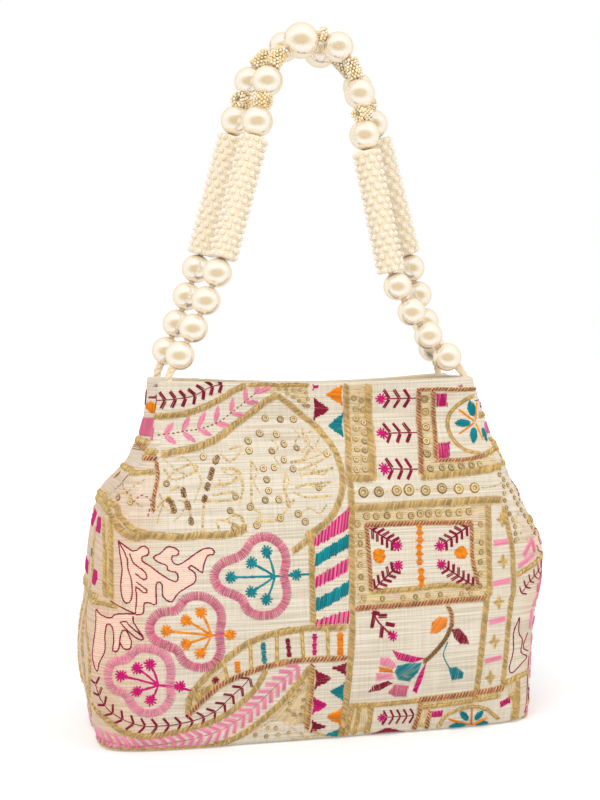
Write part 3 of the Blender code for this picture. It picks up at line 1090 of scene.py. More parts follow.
    def flame(self, first: tuple, tip: tuple, last: tuple, thread: Thread) -> None:
        """Stitches a flame: side by side on a straight base, longest in the middle.

        Args:
            first: One end of the base.
            tip: Where the middle stitch ends.
            last: The base's other end.
            thread: What it is made with.
        """
        first, tip, last = (np.asarray(point, float) for point in (first, tip, last))
        count = max(4, round(np.linalg.norm(last - first) / 0.75))
        share = np.linspace(0, 1, count)[:, None]
        base = first + (last - first) * share
        middle = (first + last) / 2
        reach = 1 - np.abs(2 * share - 1) ** 1.3
        reach = np.clip(reach + self.random.uniform(-0.06, 0.06, reach.shape), 0.12, 1)
        self.stitch(base, base + (tip - middle) * reach, thread, 1.1, 0.5)

    def block(self, start: tuple, end: tuple, width: float, thread: Thread, waist: float = 0.0) -> None:
        """Stitches a bar of short stitches laid across it, ragged at its edges.

        Args:
            start: One end of it.
            end: The other end.
            width: Its width.
            thread: What it is made with.
            waist: How much narrower it gets at its waists, as a share.
        """
        start, end = np.asarray(start, float), np.asarray(end, float)
        long = np.linalg.norm(end - start)
        run = (end - start) / long
        left = np.array([-run[1], run[0]])
        count = max(2, round(long / 0.75))
        share = np.linspace(0.04, 0.96, count)[:, None]
        half = width / 2 * (1 - waist * np.abs(np.cos(3 * np.pi * share)))
        half = half + self.random.uniform(-0.25, 0.25, half.shape)
        middle = start + run * long * share
        self.stitch(middle - left * half, middle + left * half, thread, 0.95, 0.5)

    def rim(self, points: list, thread: Thread, width: float = 5.3, pitch: float = 0.92) -> None:
        """Stitches a closed rim of blanket stitches, square to its line.

        Args:
            points: Points that its line goes through.
            thread: What it is made with.
            width: Its width.
            pitch: Distance from one stitch to the next.
        """
        path = smooth_path(np.array(points), pitch, closed=True)
        _, left = headings(path)
        self.stitch(path - left * width / 2, path + left * width / 2, thread, 0.85, 0.7)

    def sprig(self, hub: tuple, buds: list, stem: tuple, thread: Thread) -> None:
        """Stitches stems that fan out from a hub to round buds, and one that goes the other way.

        Args:
            hub: Where the stems meet.
            buds: Middles of the buds.
            stem: Where the other stem ends.
            thread: What all of it is made with.
        """
        hub = np.asarray(hub, float)
        for bud in buds:
            bud = np.asarray(bud, float)
            bend = (hub + bud) / 2 + (0.6, 0.0)
            self.line([hub, bend, bud], thread, 2.0, 1.6)
            self.star(bud, 3.3, thread, 11)
        self.line([hub, (hub + stem) / 2 + (0, 0.05), stem], thread, 2.0, 1.6)

    def net(self, points: list, radius: float = 1.0) -> None:
        """A gold running line with a small ring at even distances."""
        self.running(points, Thread.GOLD, 1.4, 0.6)
        self.rings(smooth_path(np.array(points), 4.0), radius)

    def reach_at(self, height: Array) -> Array:
        """Distance along the cloth from the middle of a side to the middle of an end, in millimetres."""
        return np.interp(height / 1000, self.form.heights, self.form.girths) * 250

    def kept(self, low: float, high: float, spare: float = 0.0) -> None:
        """Drops what lies outside a part of the way round, where -1 and 1 are the middles of the ends.

        Args:
            low: Where the part starts.
            high: Where it ends.
            spare: How much further back it starts near the mouth, where the end is folded in.
        """
        for i, (starts, ends, *rest) in enumerate(self.stitches):
            along = (starts[:, 0] + ends[:, 0]) / 2
            inside = self._inside(along, starts[:, 1], low, high, spare)
            self.stitches[i] = tuple(column[inside] for column in (starts, ends, *rest))
        for i, (centres, radii) in enumerate(self.sequins):
            inside = self._inside(centres[:, 0], centres[:, 1], low, high, spare)
            self.sequins[i] = (centres[inside], radii[inside])

    def _inside(self, along: Array, height: Array, low: float, high: float, spare: float) -> Array:
        """Whether places lie inside a part of the way round, as kept says.

        Args:
            along: Their distances from the middle of the side.
            height: Their heights.
            low: Where the part starts.
            high: Where it ends.
            spare: How much further back it starts near the mouth.

        Returns:
            Which places do.
        """
        place = along / self.reach_at(height)
        first = low - spare * np.clip((height - FOLD_START) / FOLD_RISE, 0, 1)
        return (place > first) & (place < high)

    def repeat(self, shift: float, low: float, high: float) -> None:
        """Draws everything once more further to the right, and keeps a part of that.

        Args:
            shift: How much further.
            low: Where the part starts, as in kept.
            high: Where it ends.
        """
        again = Needlework(self.form, self.side, self.flip)
        step = np.array([shift, 0.0])
        again.stitches = [(a + step, b + step, *rest) for a, b, *rest in self.stitches]
        again.sequins = [(centres + step, radii) for centres, radii in self.sequins]
        again.kept(low, high)
        self.stitches += again.stitches
        self.sequins += again.sequins

    def on_cloth(self, flat: Array, lift: Array | float) -> Array:
        """Places points over the cloth. Below the rounded edge of the base they turn in with it.

        Args:
            flat: Their places in flat millimetres, one row each.
            lift: How far they stand off the cloth.

        Returns:
            The points, in metres.
        """
        points, normals = self.form.on(self.side, flat[:, 0] * self.flip / 1000, flat[:, 1] / 1000)
        below = np.clip(BASE_ROUND - flat[:, 1] / 1000, 0, BASE_ROUND)
        turned_in = BASE_ROUND - np.sqrt(BASE_ROUND**2 - below**2)
        return points + normals * (np.reshape(lift, (-1, 1)) / 1000 - turned_in[:, None])

    def stitch_shapes(self, most: int = 10500) -> list[Shape]:
        """Makes all stitches.

        Args:
            most: The most stitches in a shape.

        Returns:
            As few shapes as that allows.
        """
        columns = [np.concatenate(c) for c in zip(*self.stitches)]
        parts = max(1, math.ceil(len(columns[0]) / most))
        return [self._stitch_shape(*part) for part in zip(*(np.array_split(c, parts) for c in columns))]

    def _stitch_shape(
        self, starts: Array, ends: Array, widths: Array, lifts: Array, threads: Array
    ) -> Shape:
        """Makes stitches as one shape. Each is a thread with a three-sided section, two feet in the cloth
        and a ridge over it, which runs through three sections and comes to a point in the cloth at both
        ends.

        Args:
            starts: Where the stitches start, one row each.
            ends: Where they end.
            widths: Their widths.
            lifts: How far they stand off the cloth.
            threads: The place of each one's finish.

        Returns:
            The shape, with its finishes and shades.
        """
        run = ends - starts
        long = np.maximum(np.linalg.norm(run, axis=1, keepdims=True), 1e-6)
        left = np.stack([-run[:, 1], run[:, 0]], axis=1) / long * (widths / 2)[:, None] * self.flip
        foot = -0.12
        columns = [self.on_cloth(starts, foot)]
        for share, rise in ((0.12, 0.85), (0.5, 1.0), (0.88, 0.85)):
            middle = starts + run * share
            for place, lift in ((middle + left, foot), (middle, lifts * rise), (middle - left, foot)):
                columns.append(self.on_cloth(place, lift))
        columns.append(self.on_cloth(ends, foot))
        points = np.stack(columns, axis=1)
        base = (np.arange(len(points)) * STITCH_POINTS)[:, None, None]
        tips = np.array([(0, 2, 1), (0, 3, 2), (0, 1, 3), (10, 7, 8), (10, 8, 9), (10, 9, 7)])
        walls = 1 + grid_faces(3, 3)
        shade = np.repeat(self.random.uniform(0, 1, len(points)), STITCH_POINTS)
        return Shape(
            points.reshape(-1, 3),
            [(base + tips).reshape(-1, 3), (base + walls).reshape(-1, 4)],
            [np.repeat(threads, len(tips)), np.repeat(threads, len(walls))],
            shade,
        )

    def sequin_shape(self) -> Shape:
        """Makes all ring sequins as one shape: each is a low ring with twelve sides and a hole.

        Returns:
            The shape.
        """
        centres, radii = (np.concatenate(c) for c in zip(*self.sequins))
        sides = 12
        turn = full_turn(sides) * self.flip
        profile = ((1.08, 0.1), (0.84, 0.55), (0.48, 0.4), (0.34, 0.1))
        points = []
        for reach, lift in profile:
            out = np.stack([np.cos(turn), np.sin(turn)], axis=1) * reach
            flat = centres[:, None] + out[None] * radii[:, None, None]
            points.append(self.on_cloth(flat.reshape(-1, 2), lift).reshape(len(centres), sides, 3))
        points = np.stack(points, axis=1)
        faces = grid_faces(len(profile), sides, closed=True)
        base = (np.arange(len(centres)) * len(profile) * sides)[:, None, None]
        faces = (base + faces).reshape(-1, 4)
        bands = [Thread.BROWN.value, Thread.SEQUIN.value] * 2
        slots = np.tile(np.repeat(bands, sides), len(centres))
        shade = np.repeat(self.random.uniform(0, 1, len(centres)), len(profile) * sides)
        return Shape(points.reshape(-1, 3), [faces], [slots], shade)


@dataclass(frozen=True)
class ThreadFinish:
    """An embroidery thread: silky, and lighter or darker from stitch to stitch.

    Attributes:
        name: Name of the material.
        colour: Its linear colour.
        roughness: From 0, polished, to 1, dull.
        metallic: From 0 to 1.
        spread: How much darker and lighter the stitches get.
    """

    name: str
    colour: Colour
    roughness: float = 0.46
    metallic: float = 0.0
    spread: float = 0.22

    def material(self) -> bpy.types.Material:
        """Makes the material.

        Returns:
            A procedural material that reads each stitch's own shade.
        """
        inputs = {
            "Roughness": self.roughness,
            "Metallic": self.metallic,
            "Specular IOR Level": 0.3,
            "Sheen Weight": 0.05,
        }
        made, tree, shader = principled(self.name, inputs)
        own = added(tree, "Attribute", "Fac", attribute_name="shade")
        feed(tree, shader, {"Base Color": mixed(tree, own, *tones(self.colour, self.spread))})
        return made


THREAD_FINISHES = {
    Thread.GOLD: ThreadFinish("gold_thread", linear(230, 196, 130), 0.3, 0.3, 0.32),
    Thread.RED_GOLD: ThreadFinish("red_gold_thread", linear(186, 84, 86), 0.36, 0.1, 0.4),
    Thread.PINK: ThreadFinish("pink_thread", linear(240, 152, 178), spread=0.14),
    Thread.ROSE: ThreadFinish("rose_thread", linear(224, 118, 148)),
    Thread.MAGENTA: ThreadFinish("magenta_thread", linear(206, 4, 116)),
    Thread.MAROON: ThreadFinish("maroon_thread", linear(142, 10, 52)),
    Thread.TEAL: ThreadFinish("teal_thread", linear(0, 134, 144)),
    Thread.ORANGE: ThreadFinish("orange_thread", linear(240, 138, 10)),
    Thread.PEACH: ThreadFinish("peach_thread", linear(252, 208, 188), 0.6, spread=0.06),
    Thread.SEQUIN: ThreadFinish("sequin_gilt", linear(232, 208, 154), 0.22, 0.6, 0.32),
    Thread.BROWN: ThreadFinish("brown_thread", linear(158, 116, 66), 0.42, 0.25, 0.35),
    Thread.GROUND: ThreadFinish("ground_thread", linear(214, 188, 136), 0.45, 0.15, 0.2),
}


@dataclass
class Patchwork:
    """The bag's traditional patchwork pattern: panels of flowers, vines and sequins between gilt braids.

    Attributes:
        work: The needlework that it is drawn on.
    """

    work: Needlework

    def top_vines(self) -> None:
        """The maroon vine and the pink chevron band at the top left, between three braids."""
        w = self.work
        w.feather(
            [(-122.8, 174.1), (-113.8, 175.2), (-75.8, 179.0), (-66.5, 181.8), (-60.7, 184.9),
             (-53.3, 186.9)],
            Thread.MAROON, 5.4, 4.6, 3.0, 1.9,
        )
        w.braid(
            [(-122.0, 166.3), (-79.3, 170.2), (-70.5, 171.9), (-61.5, 175.2), (-52.4, 179.6),
             (-46.9, 183.1), (-39.6, 186.4)]
        )
        w.running(
            [(-89.1, 160.1), (-82.6, 160.7), (-74.1, 162.0), (-65.3, 163.0), (-56.2, 165.7), (-47.8, 171.2),
             (-40.0, 177.2), (-33.2, 182.7)],
            Thread.BROWN,
        )
        chevrons = [
            ((-80.1, 166.9), (-85.7, 160.1), (-79.3, 155.3)),
            ((-71.4, 169.8), (-76.2, 161.6), (-68.7, 155.8)),
            ((-62.4, 173.1), (-67.5, 162.6), (-58.8, 159.2)),
            ((-55.6, 175.6), (-57.1, 165.3), (-48.5, 164.3)),
            ((-46.9, 180.0), (-48.3, 170.8), (-38.6, 169.3)),
            ((-39.6, 185.8), (-40.0, 176.6), (-31.8, 176.8)),
            ((-32.2, 187.0), (-34.1, 181.6), (-23.6, 186.3)),
        ]
        for upper, tip, lower in chevrons:
            w.leaf(tip, upper, 3.4, Thread.PINK)
            w.leaf(tip, lower, 3.4, Thread.PINK)
        w.braid(
            [(-87.5, 150.5), (-77.7, 152.1), (-67.5, 153.8), (-57.7, 157.1), (-49.1, 162.6), (-41.4, 167.6),
             (-34.1, 172.8), (-26.8, 178.2), (-21.4, 180.7)],
            width=3.6,
        )
        w.braid([(-37.7, 186.4), (-29.5, 187.2), (-20.5, 186.3), (-13.3, 186.7), (-4.4, 186.2)], width=2.2)
        w.ground(
            [(-36, 185.6), (-5, 185.6), (-4.8, 172), (-13, 180), (-20, 183), (-27, 181.8)], Thread.GROUND
        )
        w.net([(-20.5, 184.5), (-13.3, 184.0), (-5.7, 182.5), (-4.4, 173.3), (-8.8, 177.0), (-16.0, 181.7)])

    def paisley(self) -> None:
        """The large pale paisley in the middle, with sequins and meandering gilt lines."""
        w = self.work
        w.braid(
            [(-21.4, 180.7), (-15.1, 175.7), (-7.9, 169.2), (-2.2, 164.1), (2.0, 158.9), (1.6, 159.1),
             (6.0, 151.1), (8.0, 143.5), (8.3, 135.4), (5.7, 126.5), (1.0, 118.3), (-6.5, 111.9),
             (-13.7, 108.0), (-8.7, 108.8), (-15.7, 104.3), (-21.3, 100.5)],
            width=3.2,
        )
        w.braid(
            [(-111.4, 115.4), (-103.6, 110.3), (-93.3, 110.9), (-81.3, 109.8), (-69.2, 110.2),
             (-58.6, 110.0), (-50.4, 111.0), (-45.3, 113.4)],
            width=3.8,
        )
        w.rings(
            [(-28.7, 167.8), (-20.1, 167.0), (-12.7, 166.8), (-33.1, 159.7), (-23.8, 158.9), (-40.0, 155.9),
             (-20.6, 153.7), (-40.4, 150.9)],
            1.9,
        )
        w.rings(
            [(-28.4, 150.5), (-22.2, 145.7), (-34.0, 141.9), (-28.2, 142.2), (-17.6, 141.1), (-32.8, 136.5),
             (-32.5, 131.1), (-34.6, 126.6)],
            1.7,
        )
        w.rings(
            [(-27.4, 126.6), (-42.5, 123.4), (-27.2, 117.5), (-17.6, 119.1), (-14.1, 115.0), (-39.7, 114.3),
             (-51.1, 113.6), (-65.3, 148.5)],
            1.8,
        )
        w.rings(
            [(-85.1, 136.2), (-58.7, 146.7), (-53.1, 121.9), (-49.8, 128.7), (1.6, 148.0), (-13.8, 151.5),
             (-5.6, 131.8)],
            1.6,
        )
        lines = [
            [(-39.9, 146.0), (-40.9, 136.8), (-41.7, 126.7)],
            [(-80.5, 142.7), (-72.2, 145.2), (-68.6, 143.1), (-75.0, 139.4), (-82.0, 138.4),
             (-85.4, 142.0)],
            [(-83.6, 132.6), (-78.6, 134.1), (-76.0, 130.9), (-73.9, 123.8), (-73.0, 117.4)],
            [(-91.2, 123.0), (-87.5, 127.3), (-84.5, 129.6), (-81.9, 126.4), (-81.7, 122.0),
             (-85.2, 124.1)],
            [(-56.5, 142.7), (-47.7, 141.6), (-50.4, 136.3), (-58.9, 134.6)],
            [(-61.7, 129.7), (-50.9, 130.9), (-49.5, 127.7), (-57.8, 126.8), (-65.2, 126.3), (-67.1, 120.4),
             (-67.6, 113.7)],
            [(-54.8, 122.0), (-47.5, 118.6), (-46.9, 114.2), (-53.0, 116.0), (-59.5, 117.8),
             (-59.3, 113.1)],
            [(-42.3, 122.8), (-37.1, 120.2), (-39.3, 117.1), (-31.0, 116.4), (-26.7, 118.3),
             (-20.0, 125.2)],
            [(-14.0, 140.6), (-4.8, 143.8), (2.7, 147.2)],
            [(-14.5, 137.9), (-5.7, 139.2), (2.4, 140.9)],
            [(-17.9, 132.2), (-10.1, 133.5), (1.2, 134.3)],
            [(-19.1, 129.9), (-12.6, 127.3), (-0.6, 127.7)],
            [(-51.3, 152.1), (-45.0, 153.1), (-46.9, 148.7), (-51.5, 146.0), (-55.1, 148.9)],
            [(-8.4, 161.7), (-8.4, 155.7), (-5.2, 150.7)],
            [(-7.0, 150.7), (-11.4, 145.9), (-16.8, 144.5)],
            [(-21.8, 140.0), (-23.9, 132.4), (-23.0, 124.5)],
            [(-46.5, 140.8), (-45.7, 133.1), (-48.0, 125.3)],
        ]
        for points in lines:
            w.running(points, Thread.GOLD, 1.7, 0.25, 1.5)
        fine = [
            [(-10.4, 150.7), (-6.3, 154.1), (-7.0, 158.2), (-2.1, 160.7), (-0.2, 157.3), (-3.3, 152.3),
             (-0.5, 148.9)],
            [(-13.2, 144.3), (-8.8, 145.9), (-3.4, 147.4), (1.4, 149.7)],
            [(-16.9, 132.1), (-11.7, 133.5), (-6.9, 131.9), (-2.6, 132.5)],
            [(-55.1, 141.0), (-51.0, 139.3), (-47.4, 141.5), (-46.9, 137.6), (-51.4, 135.5), (-55.7, 134.1),
             (-57.2, 136.4)],
            [(-80.4, 146.6), (-77.2, 148.9), (-72.8, 146.3), (-70.1, 142.2), (-73.6, 140.1),
             (-78.7, 141.9)],
            [(-86.9, 148.3), (-83.6, 145.9), (-81.2, 142.7), (-83.6, 139.7), (-86.1, 136.6)],
            [(-88.7, 131.3), (-87.2, 126.5), (-89.0, 121.9), (-89.9, 117.9)],
            [(-79.1, 127.8), (-75.9, 126.2), (-77.7, 121.5), (-81.0, 118.5)],
            [(-56.8, 116.9), (-51.7, 119.1), (-47.7, 117.4), (-46.2, 114.2)],
            [(-27.4, 156.3), (-24.4, 152.9), (-27.2, 148.0), (-25.0, 143.2)],
            [(-21.8, 139.9), (-20.8, 135.3), (-23.2, 130.7), (-21.9, 126.0)],
            [(-15.6, 119.4), (-11.3, 121.7), (-6.4, 119.1), (-2.8, 122.2)],
            [(-39.4, 145.2), (-37.4, 140.5), (-39.6, 135.9), (-37.6, 131.3)],
            [(-68.4, 141.4), (-67.0, 136.7), (-69.0, 132.1), (-70.9, 127.6)],
            [(-13.9, 162.6), (-11.3, 158.3), (-13.9, 154.1), (-11.4, 149.9)],
            [(-8.2, 144.3), (-5.1, 142.7), (-7.3, 139.6), (-2.5, 138.0), (0.5, 140.2)],
        ]
        for points in fine:
            w.running(points, Thread.GOLD, 1.4, 0.3, 1.0)
        for coil in (
            [(-57.4, 148.6), (-59.4, 145.2)],
            [(-60.6, 142.8), (-62.6, 137.4)],
            [(-63.4, 135.6), (-64.6, 132.4)],
            [(-65.4, 129.6), (-66.4, 126.6)],
            [(-76.8, 133.6), (-76.2, 129.4)],
            [(-75.2, 127.0), (-74.0, 123.4)],
            [(-85.4, 128.6), (-83.4, 127.4), (-82.0, 124.6), (-81.6, 121.8)],
            [(-73.4, 118.8), (-73.2, 115.8)],
        ):
            w.braid(coil, Thread.BROWN, 2.3, 1.2, 0.4)

    def folded_side(self) -> None:
        """The crumpled end at the left of the mouth: a gilt and pink scrap of the next repeat."""
        w = self.work
        w.bar((-134.2, 181.2), (-134.8, 171.8), 1.4, Thread.MAROON)
        w.bar((-132.5, 176.6), (-124.2, 177.0), 1.0, Thread.MAROON)
        w.bar((-130.7, 183.1), (-85.9, 185.0), 1.2, Thread.MAROON)
        w.satin(
            [(-133.5, 173.6), (-129.5, 175.2), (-124.6, 173.0), (-124.6, 168.6), (-129.5, 167.6),
             (-133.5, 170.6)],
            84, Thread.ORANGE,
        )
        w.satin(
            [(-142.0, 163.0), (-136.0, 166.5), (-124.0, 167.2), (-118.0, 163.0), (-118.5, 157.5),
             (-125.0, 155.6), (-138.0, 155.4), (-142.0, 159.0)],
            84, Thread.ROSE,
        )
        w.satin([(-118.4, 163.5), (-90.6, 164.0), (-92.0, 156.6), (-118.6, 156.4)], 84, Thread.ROSE)
        w.ground(
            [(-143.0, 154.0), (-125.8, 154.0), (-89.3, 152.6), (-91.0, 149.9), (-143.1, 148.6),
             (-146.0, 150.0)],
            Thread.BROWN,
        )
        w.braid([(-142.0, 154.0), (-133.0, 153.3), (-90.0, 151.4)], width=3.4)
        w.braid([(-142.3, 153.4), (-127.9, 149.7), (-90.0, 148.3)], Thread.RED_GOLD, 2.6)
        w.braid([(-153.4, 139.9), (-133.9, 139.1), (-96.1, 141.6), (-91.1, 142.1)], width=2.4)
        w.running([(-104.6, 132.7), (-101.2, 135.4), (-97.4, 137.6)], Thread.GOLD)
        w.running([(-102.3, 127.4), (-98.1, 130.5), (-93.4, 128.2), (-94.5, 121.9)], Thread.RED_GOLD)
        w.running([(-120.0, 132.0), (-112.0, 135.5), (-104.0, 131.0)], Thread.BROWN)
        w.running(
            [(-124.0, 130.0), (-116.0, 128.0), (-108.0, 131.6), (-99.0, 126.0)], Thread.GOLD, 1.6, 0.3, 1.2
        )
        w.rings([(-110.6, 129.3), (-103.7, 127.4), (-148.2, 135.6), (-118.0, 137.0)], 1.5)
        w.braid([(-165.0, 123.0), (-122.3, 123.3), (-113.3, 118.5), (-110.1, 114.7)], width=3.8)
        w.braid(
            [(-165.0, 126.0), (-115.6, 126.0), (-110.0, 121.0), (-102.7, 114.1), (-95.6, 111.7)], width=3.0
        )
        w.braid([(-90.1, 146.7), (-89.6, 139.0), (-91.5, 130.5), (-92.4, 122.7)], Thread.RED_GOLD, 1.8)

    def side_strip(self) -> None:
        """The upright double braid near the left corner, with blocks of colour beyond it."""
        w = self.work
        w.ground([(-121.5, 118), (-114.8, 119), (-114.8, 79), (-118, 80)], Thread.GROUND, 90.0)
        w.braid([(-122.2, 118.2), (-119.3, 102.2), (-118.6, 86.5), (-117.9, 80.4)], width=2.8)
        w.braid([(-114.7, 119.1), (-114.8, 102.6), (-114.8, 86.8), (-114.7, 78.9)], width=2.8)
        w.braid([(-150.6, 73.8), (-133.5, 58.2), (-130.4, 42.7), (-135.3, 25.7)], width=2.4)
        w.braid([(-132.3, 76.2), (-118.9, 76.4), (-111.7, 75.3)], width=2.0)
        for outline, thread in (
            ([(-140.0, 117.0), (-128.0, 118.0), (-126.0, 113.5), (-129.0, 109.0), (-141.0, 108.6)],
             Thread.MAGENTA),
            ([(-141.0, 90.4), (-128.0, 91.6), (-126.0, 87.5), (-129.0, 83.6), (-141.0, 82.4)],
             Thread.MAGENTA),
            ([(-152.0, 99.0), (-146.5, 99.6), (-146.5, 94.6), (-152.0, 94.0)], Thread.TEAL),
        ):
            w.satin(outline, 88, thread)
        w.braid([(-165.0, 76.0), (-142.6, 77.4), (-124.1, 79.4)], width=3.0)
        for height in (60.0, 42.0, 24.0):
            w.feather([(-150.0, height), (-150.0, height - 14.0)], Thread.ROSE, 5.0, 4.0, 2.0, 1.6)
        w.braid([(-143.0, 110.0), (-146.0, 80.0), (-146.0, 50.0), (-144.0, 14.0)], width=2.4)

    def coral(self) -> None:
        """The branching coral, filled with peach and outlined in fine maroon stem stitch."""
        w = self.work
        outlines = [
            [(-110.5, 108.1), (-109.6, 100.7), (-108.8, 94.4), (-109.5, 88.0), (-109.5, 82.5),
             (-108.4, 78.6), (-106.2, 76.9), (-104.3, 79.4), (-103.9, 83.4), (-104.2, 88.9), (-105.8, 94.4),
             (-106.0, 99.2), (-108.1, 103.9), (-110.3, 107.9)],
            [(-104.7, 101.9), (-103.2, 97.6), (-100.4, 95.2), (-96.9, 92.4), (-96.3, 89.2), (-98.2, 88.9),
             (-102.1, 92.1)],
            [(-101.8, 87.9), (-97.8, 84.9), (-95.9, 83.1), (-97.9, 82.1), (-102.2, 85.7), (-101.7, 81.8),
             (-102.0, 77.0), (-102.5, 71.9)],
            [(-110.3, 108.1), (-103.0, 103.1), (-99.8, 104.7), (-97.4, 105.9), (-95.0, 103.9),
             (-95.5, 101.1), (-98.3, 100.8), (-98.8, 98.4), (-95.2, 96.0), (-88.2, 90.7), (-82.7, 87.6),
             (-80.9, 88.5), (-81.4, 92.1), (-86.1, 93.4), (-86.1, 95.8), (-91.2, 97.9), (-93.2, 100.3),
             (-89.5, 101.8), (-85.4, 105.3), (-81.5, 104.0), (-79.5, 101.9), (-81.6, 100.6), (-84.0, 100.5),
             (-83.3, 97.3), (-80.5, 96.0), (-75.2, 99.0), (-68.6, 103.2), (-63.7, 103.8), (-61.9, 101.8),
             (-63.0, 100.2), (-65.4, 100.7), (-67.6, 96.0), (-68.5, 91.6)],
            [(-68.5, 91.6), (-71.3, 93.7), (-74.5, 95.8), (-75.7, 93.9), (-72.5, 92.2), (-72.2, 87.4),
             (-78.7, 83.6), (-82.0, 80.9), (-83.7, 77.8), (-86.4, 78.3), (-88.8, 80.8), (-88.7, 84.7),
             (-89.4, 87.9), (-91.8, 86.8), (-92.0, 80.8), (-92.1, 76.1), (-94.8, 77.3), (-98.0, 77.4),
             (-98.5, 72.2), (-102.1, 71.6)],
            [(-115.1, 78.1), (-108.4, 74.6), (-102.5, 71.9)],
            [(-102.5, 71.9), (-107.7, 72.1), (-113.0, 71.5), (-115.2, 69.6), (-122.1, 71.3), (-124.3, 73.7),
             (-124.3, 64.7), (-126.0, 55.7), (-126.9, 48.4), (-123.4, 41.6), (-121.7, 46.8), (-118.4, 52.8),
             (-118.3, 60.7), (-117.4, 66.3), (-115.6, 66.9), (-113.9, 64.2), (-113.6, 57.9), (-114.1, 53.0),
             (-111.2, 53.9), (-109.9, 61.9), (-107.8, 64.4), (-104.7, 58.8), (-105.1, 54.8), (-107.9, 54.0),
             (-110.5, 58.0)],
            [(-110.2, 67.9), (-106.9, 68.3), (-105.4, 66.0), (-98.7, 60.3), (-99.5, 58.7), (-103.8, 61.2),
             (-108.6, 65.9), (-110.2, 67.9)],
            [(-103.7, 70.7), (-103.3, 67.5), (-100.6, 63.5), (-98.7, 60.7)],
        ]
        rising = outlines[0][:7] + [(-102.5, 71.9)] + outlines[4][::-1] + outlines[3][::-1]
        for outline in (rising, outlines[6]):
            w.ground(outline, Thread.PEACH)
        for points in outlines:
            w.line(points, Thread.MAROON, 1.8, 1.0)

    def trefoils(self) -> None:
        """Three trefoils with pink blanket-stitched rims, each with a sprig of six buds in its own
        colour."""
        w = self.work
        w.rim(
            [(-26.8, 88.5), (-25.2, 96.7), (-27.8, 104.0), (-34.7, 108.5), (-42.3, 106.8), (-47.5, 100.4),
             (-53.3, 98.0), (-59.1, 95.7), (-62.8, 90.2), (-60.1, 83.7), (-53.6, 80.6), (-48.4, 77.5),
             (-46.0, 72.2), (-39.1, 68.9), (-30.7, 70.2), (-25.6, 76.5), (-25.5, 82.9)],
            Thread.ROSE,
        )
        w.sprig(
            (-31.6, 88.5), [(-54.3, 89.0), (-43.5, 95.8), (-35.4, 101.1), (-43.8, 81.3), (-36.0, 77.0),
            (-19.9, 88.8)], (-12.7, 88.6), Thread.TEAL
        )
        w.rim(
            [(-60.4, 60.4), (-59.2, 69.2), (-61.9, 75.7), (-69.1, 80.1), (-77.2, 79.2), (-82.1, 73.4),
             (-90.1, 72.4), (-95.0, 67.4), (-94.3, 60.2), (-87.2, 56.0), (-81.7, 53.3), (-78.5, 47.5),
             (-71.2, 43.9), (-63.9, 45.1), (-59.8, 51.5)],
            Thread.ROSE,
        )
        w.sprig(
            (-64.6, 60.2), [(-87.1, 63.2), (-77.4, 68.4), (-69.7, 72.1), (-77.2, 56.4), (-70.0, 51.2),
            (-54.8, 60.1)], (-54.8, 60.1), Thread.ORANGE
        )
        w.rim(
            [(-85.5, 35.9), (-84.9, 43.7), (-88.1, 51.2), (-95.2, 54.5), (-102.4, 54.0), (-107.2, 49.2),
             (-114.5, 47.4), (-116.7, 40.7), (-114.6, 34.2), (-107.2, 31.0), (-103.1, 24.2), (-96.7, 20.8),
             (-89.5, 22.3), (-84.8, 28.7)],
            Thread.PINK,
        )
        w.sprig(
            (-91.3, 35.7), [(-109.8, 41.0), (-101.8, 44.7), (-95.3, 46.6), (-101.8, 32.7), (-95.0, 27.9),
            (-80.1, 34.4)], (-74.4, 32.0), Thread.MAGENTA
        )

    def lower_vines(self) -> None:
        """The maroon vine and the pink herringbone band that curve along the lower left, and their
        braids."""
        w = self.work
        vine = [
            (-124.5, 35.1), (-122.7, 30.2), (-119.1, 25.2), (-113.7, 20.5), (-106.2, 16.5), (-98.2, 14.0),
            (-90.9, 13.7), (-82.9, 14.0), (-74.8, 15.2), (-66.7, 17.5), (-60.2, 21.0), (-53.9, 27.3),
            (-48.2, 32.5), (-44.6, 36.7),
        ]
        w.feather(vine, Thread.MAROON, 6.0, 4.4, 3.2, 1.3)
        w.braid(
            [(-131.3, 23.2), (-119.3, 18.1), (-110.3, 12.0), (-102.1, 9.1), (-94.1, 8.5), (-85.2, 9.4),
             (-73.9, 11.7), (-63.3, 14.5), (-54.4, 19.1), (-46.4, 25.5), (-40.8, 32.0), (-36.4, 40.2)],
            width=2.8,
        )
        band = [
            (-128.3, 5.6), (-114.6, 4.8), (-104.4, 3.1), (-94.0, 3.3), (-81.9, 4.6), (-69.7, 6.4),
            (-59.1, 9.3), (-49.3, 14.7), (-41.2, 21.2), (-34.0, 28.5), (-25.8, 36.2), (-19.2, 41.7),
        ]
        w.feather(band, Thread.PINK, 4.7, 5.2, 5.0, 2.2, Thread.ROSE)
        w.braid(
            [(-138.0, 0.5), (-126.0, 0.5), (-118.5, 0.5), (-107.7, 0.5), (-93.9, 0.5), (-77.7, 0.5),
             (-65.4, 0.5), (-57.2, 2.2), (-47.3, 6.7), (-39.2, 12.2), (-31.1, 19.1), (-24.6, 25.7),
             (-19.0, 33.1), (-13.3, 40.5)],
            width=3.0,
        )

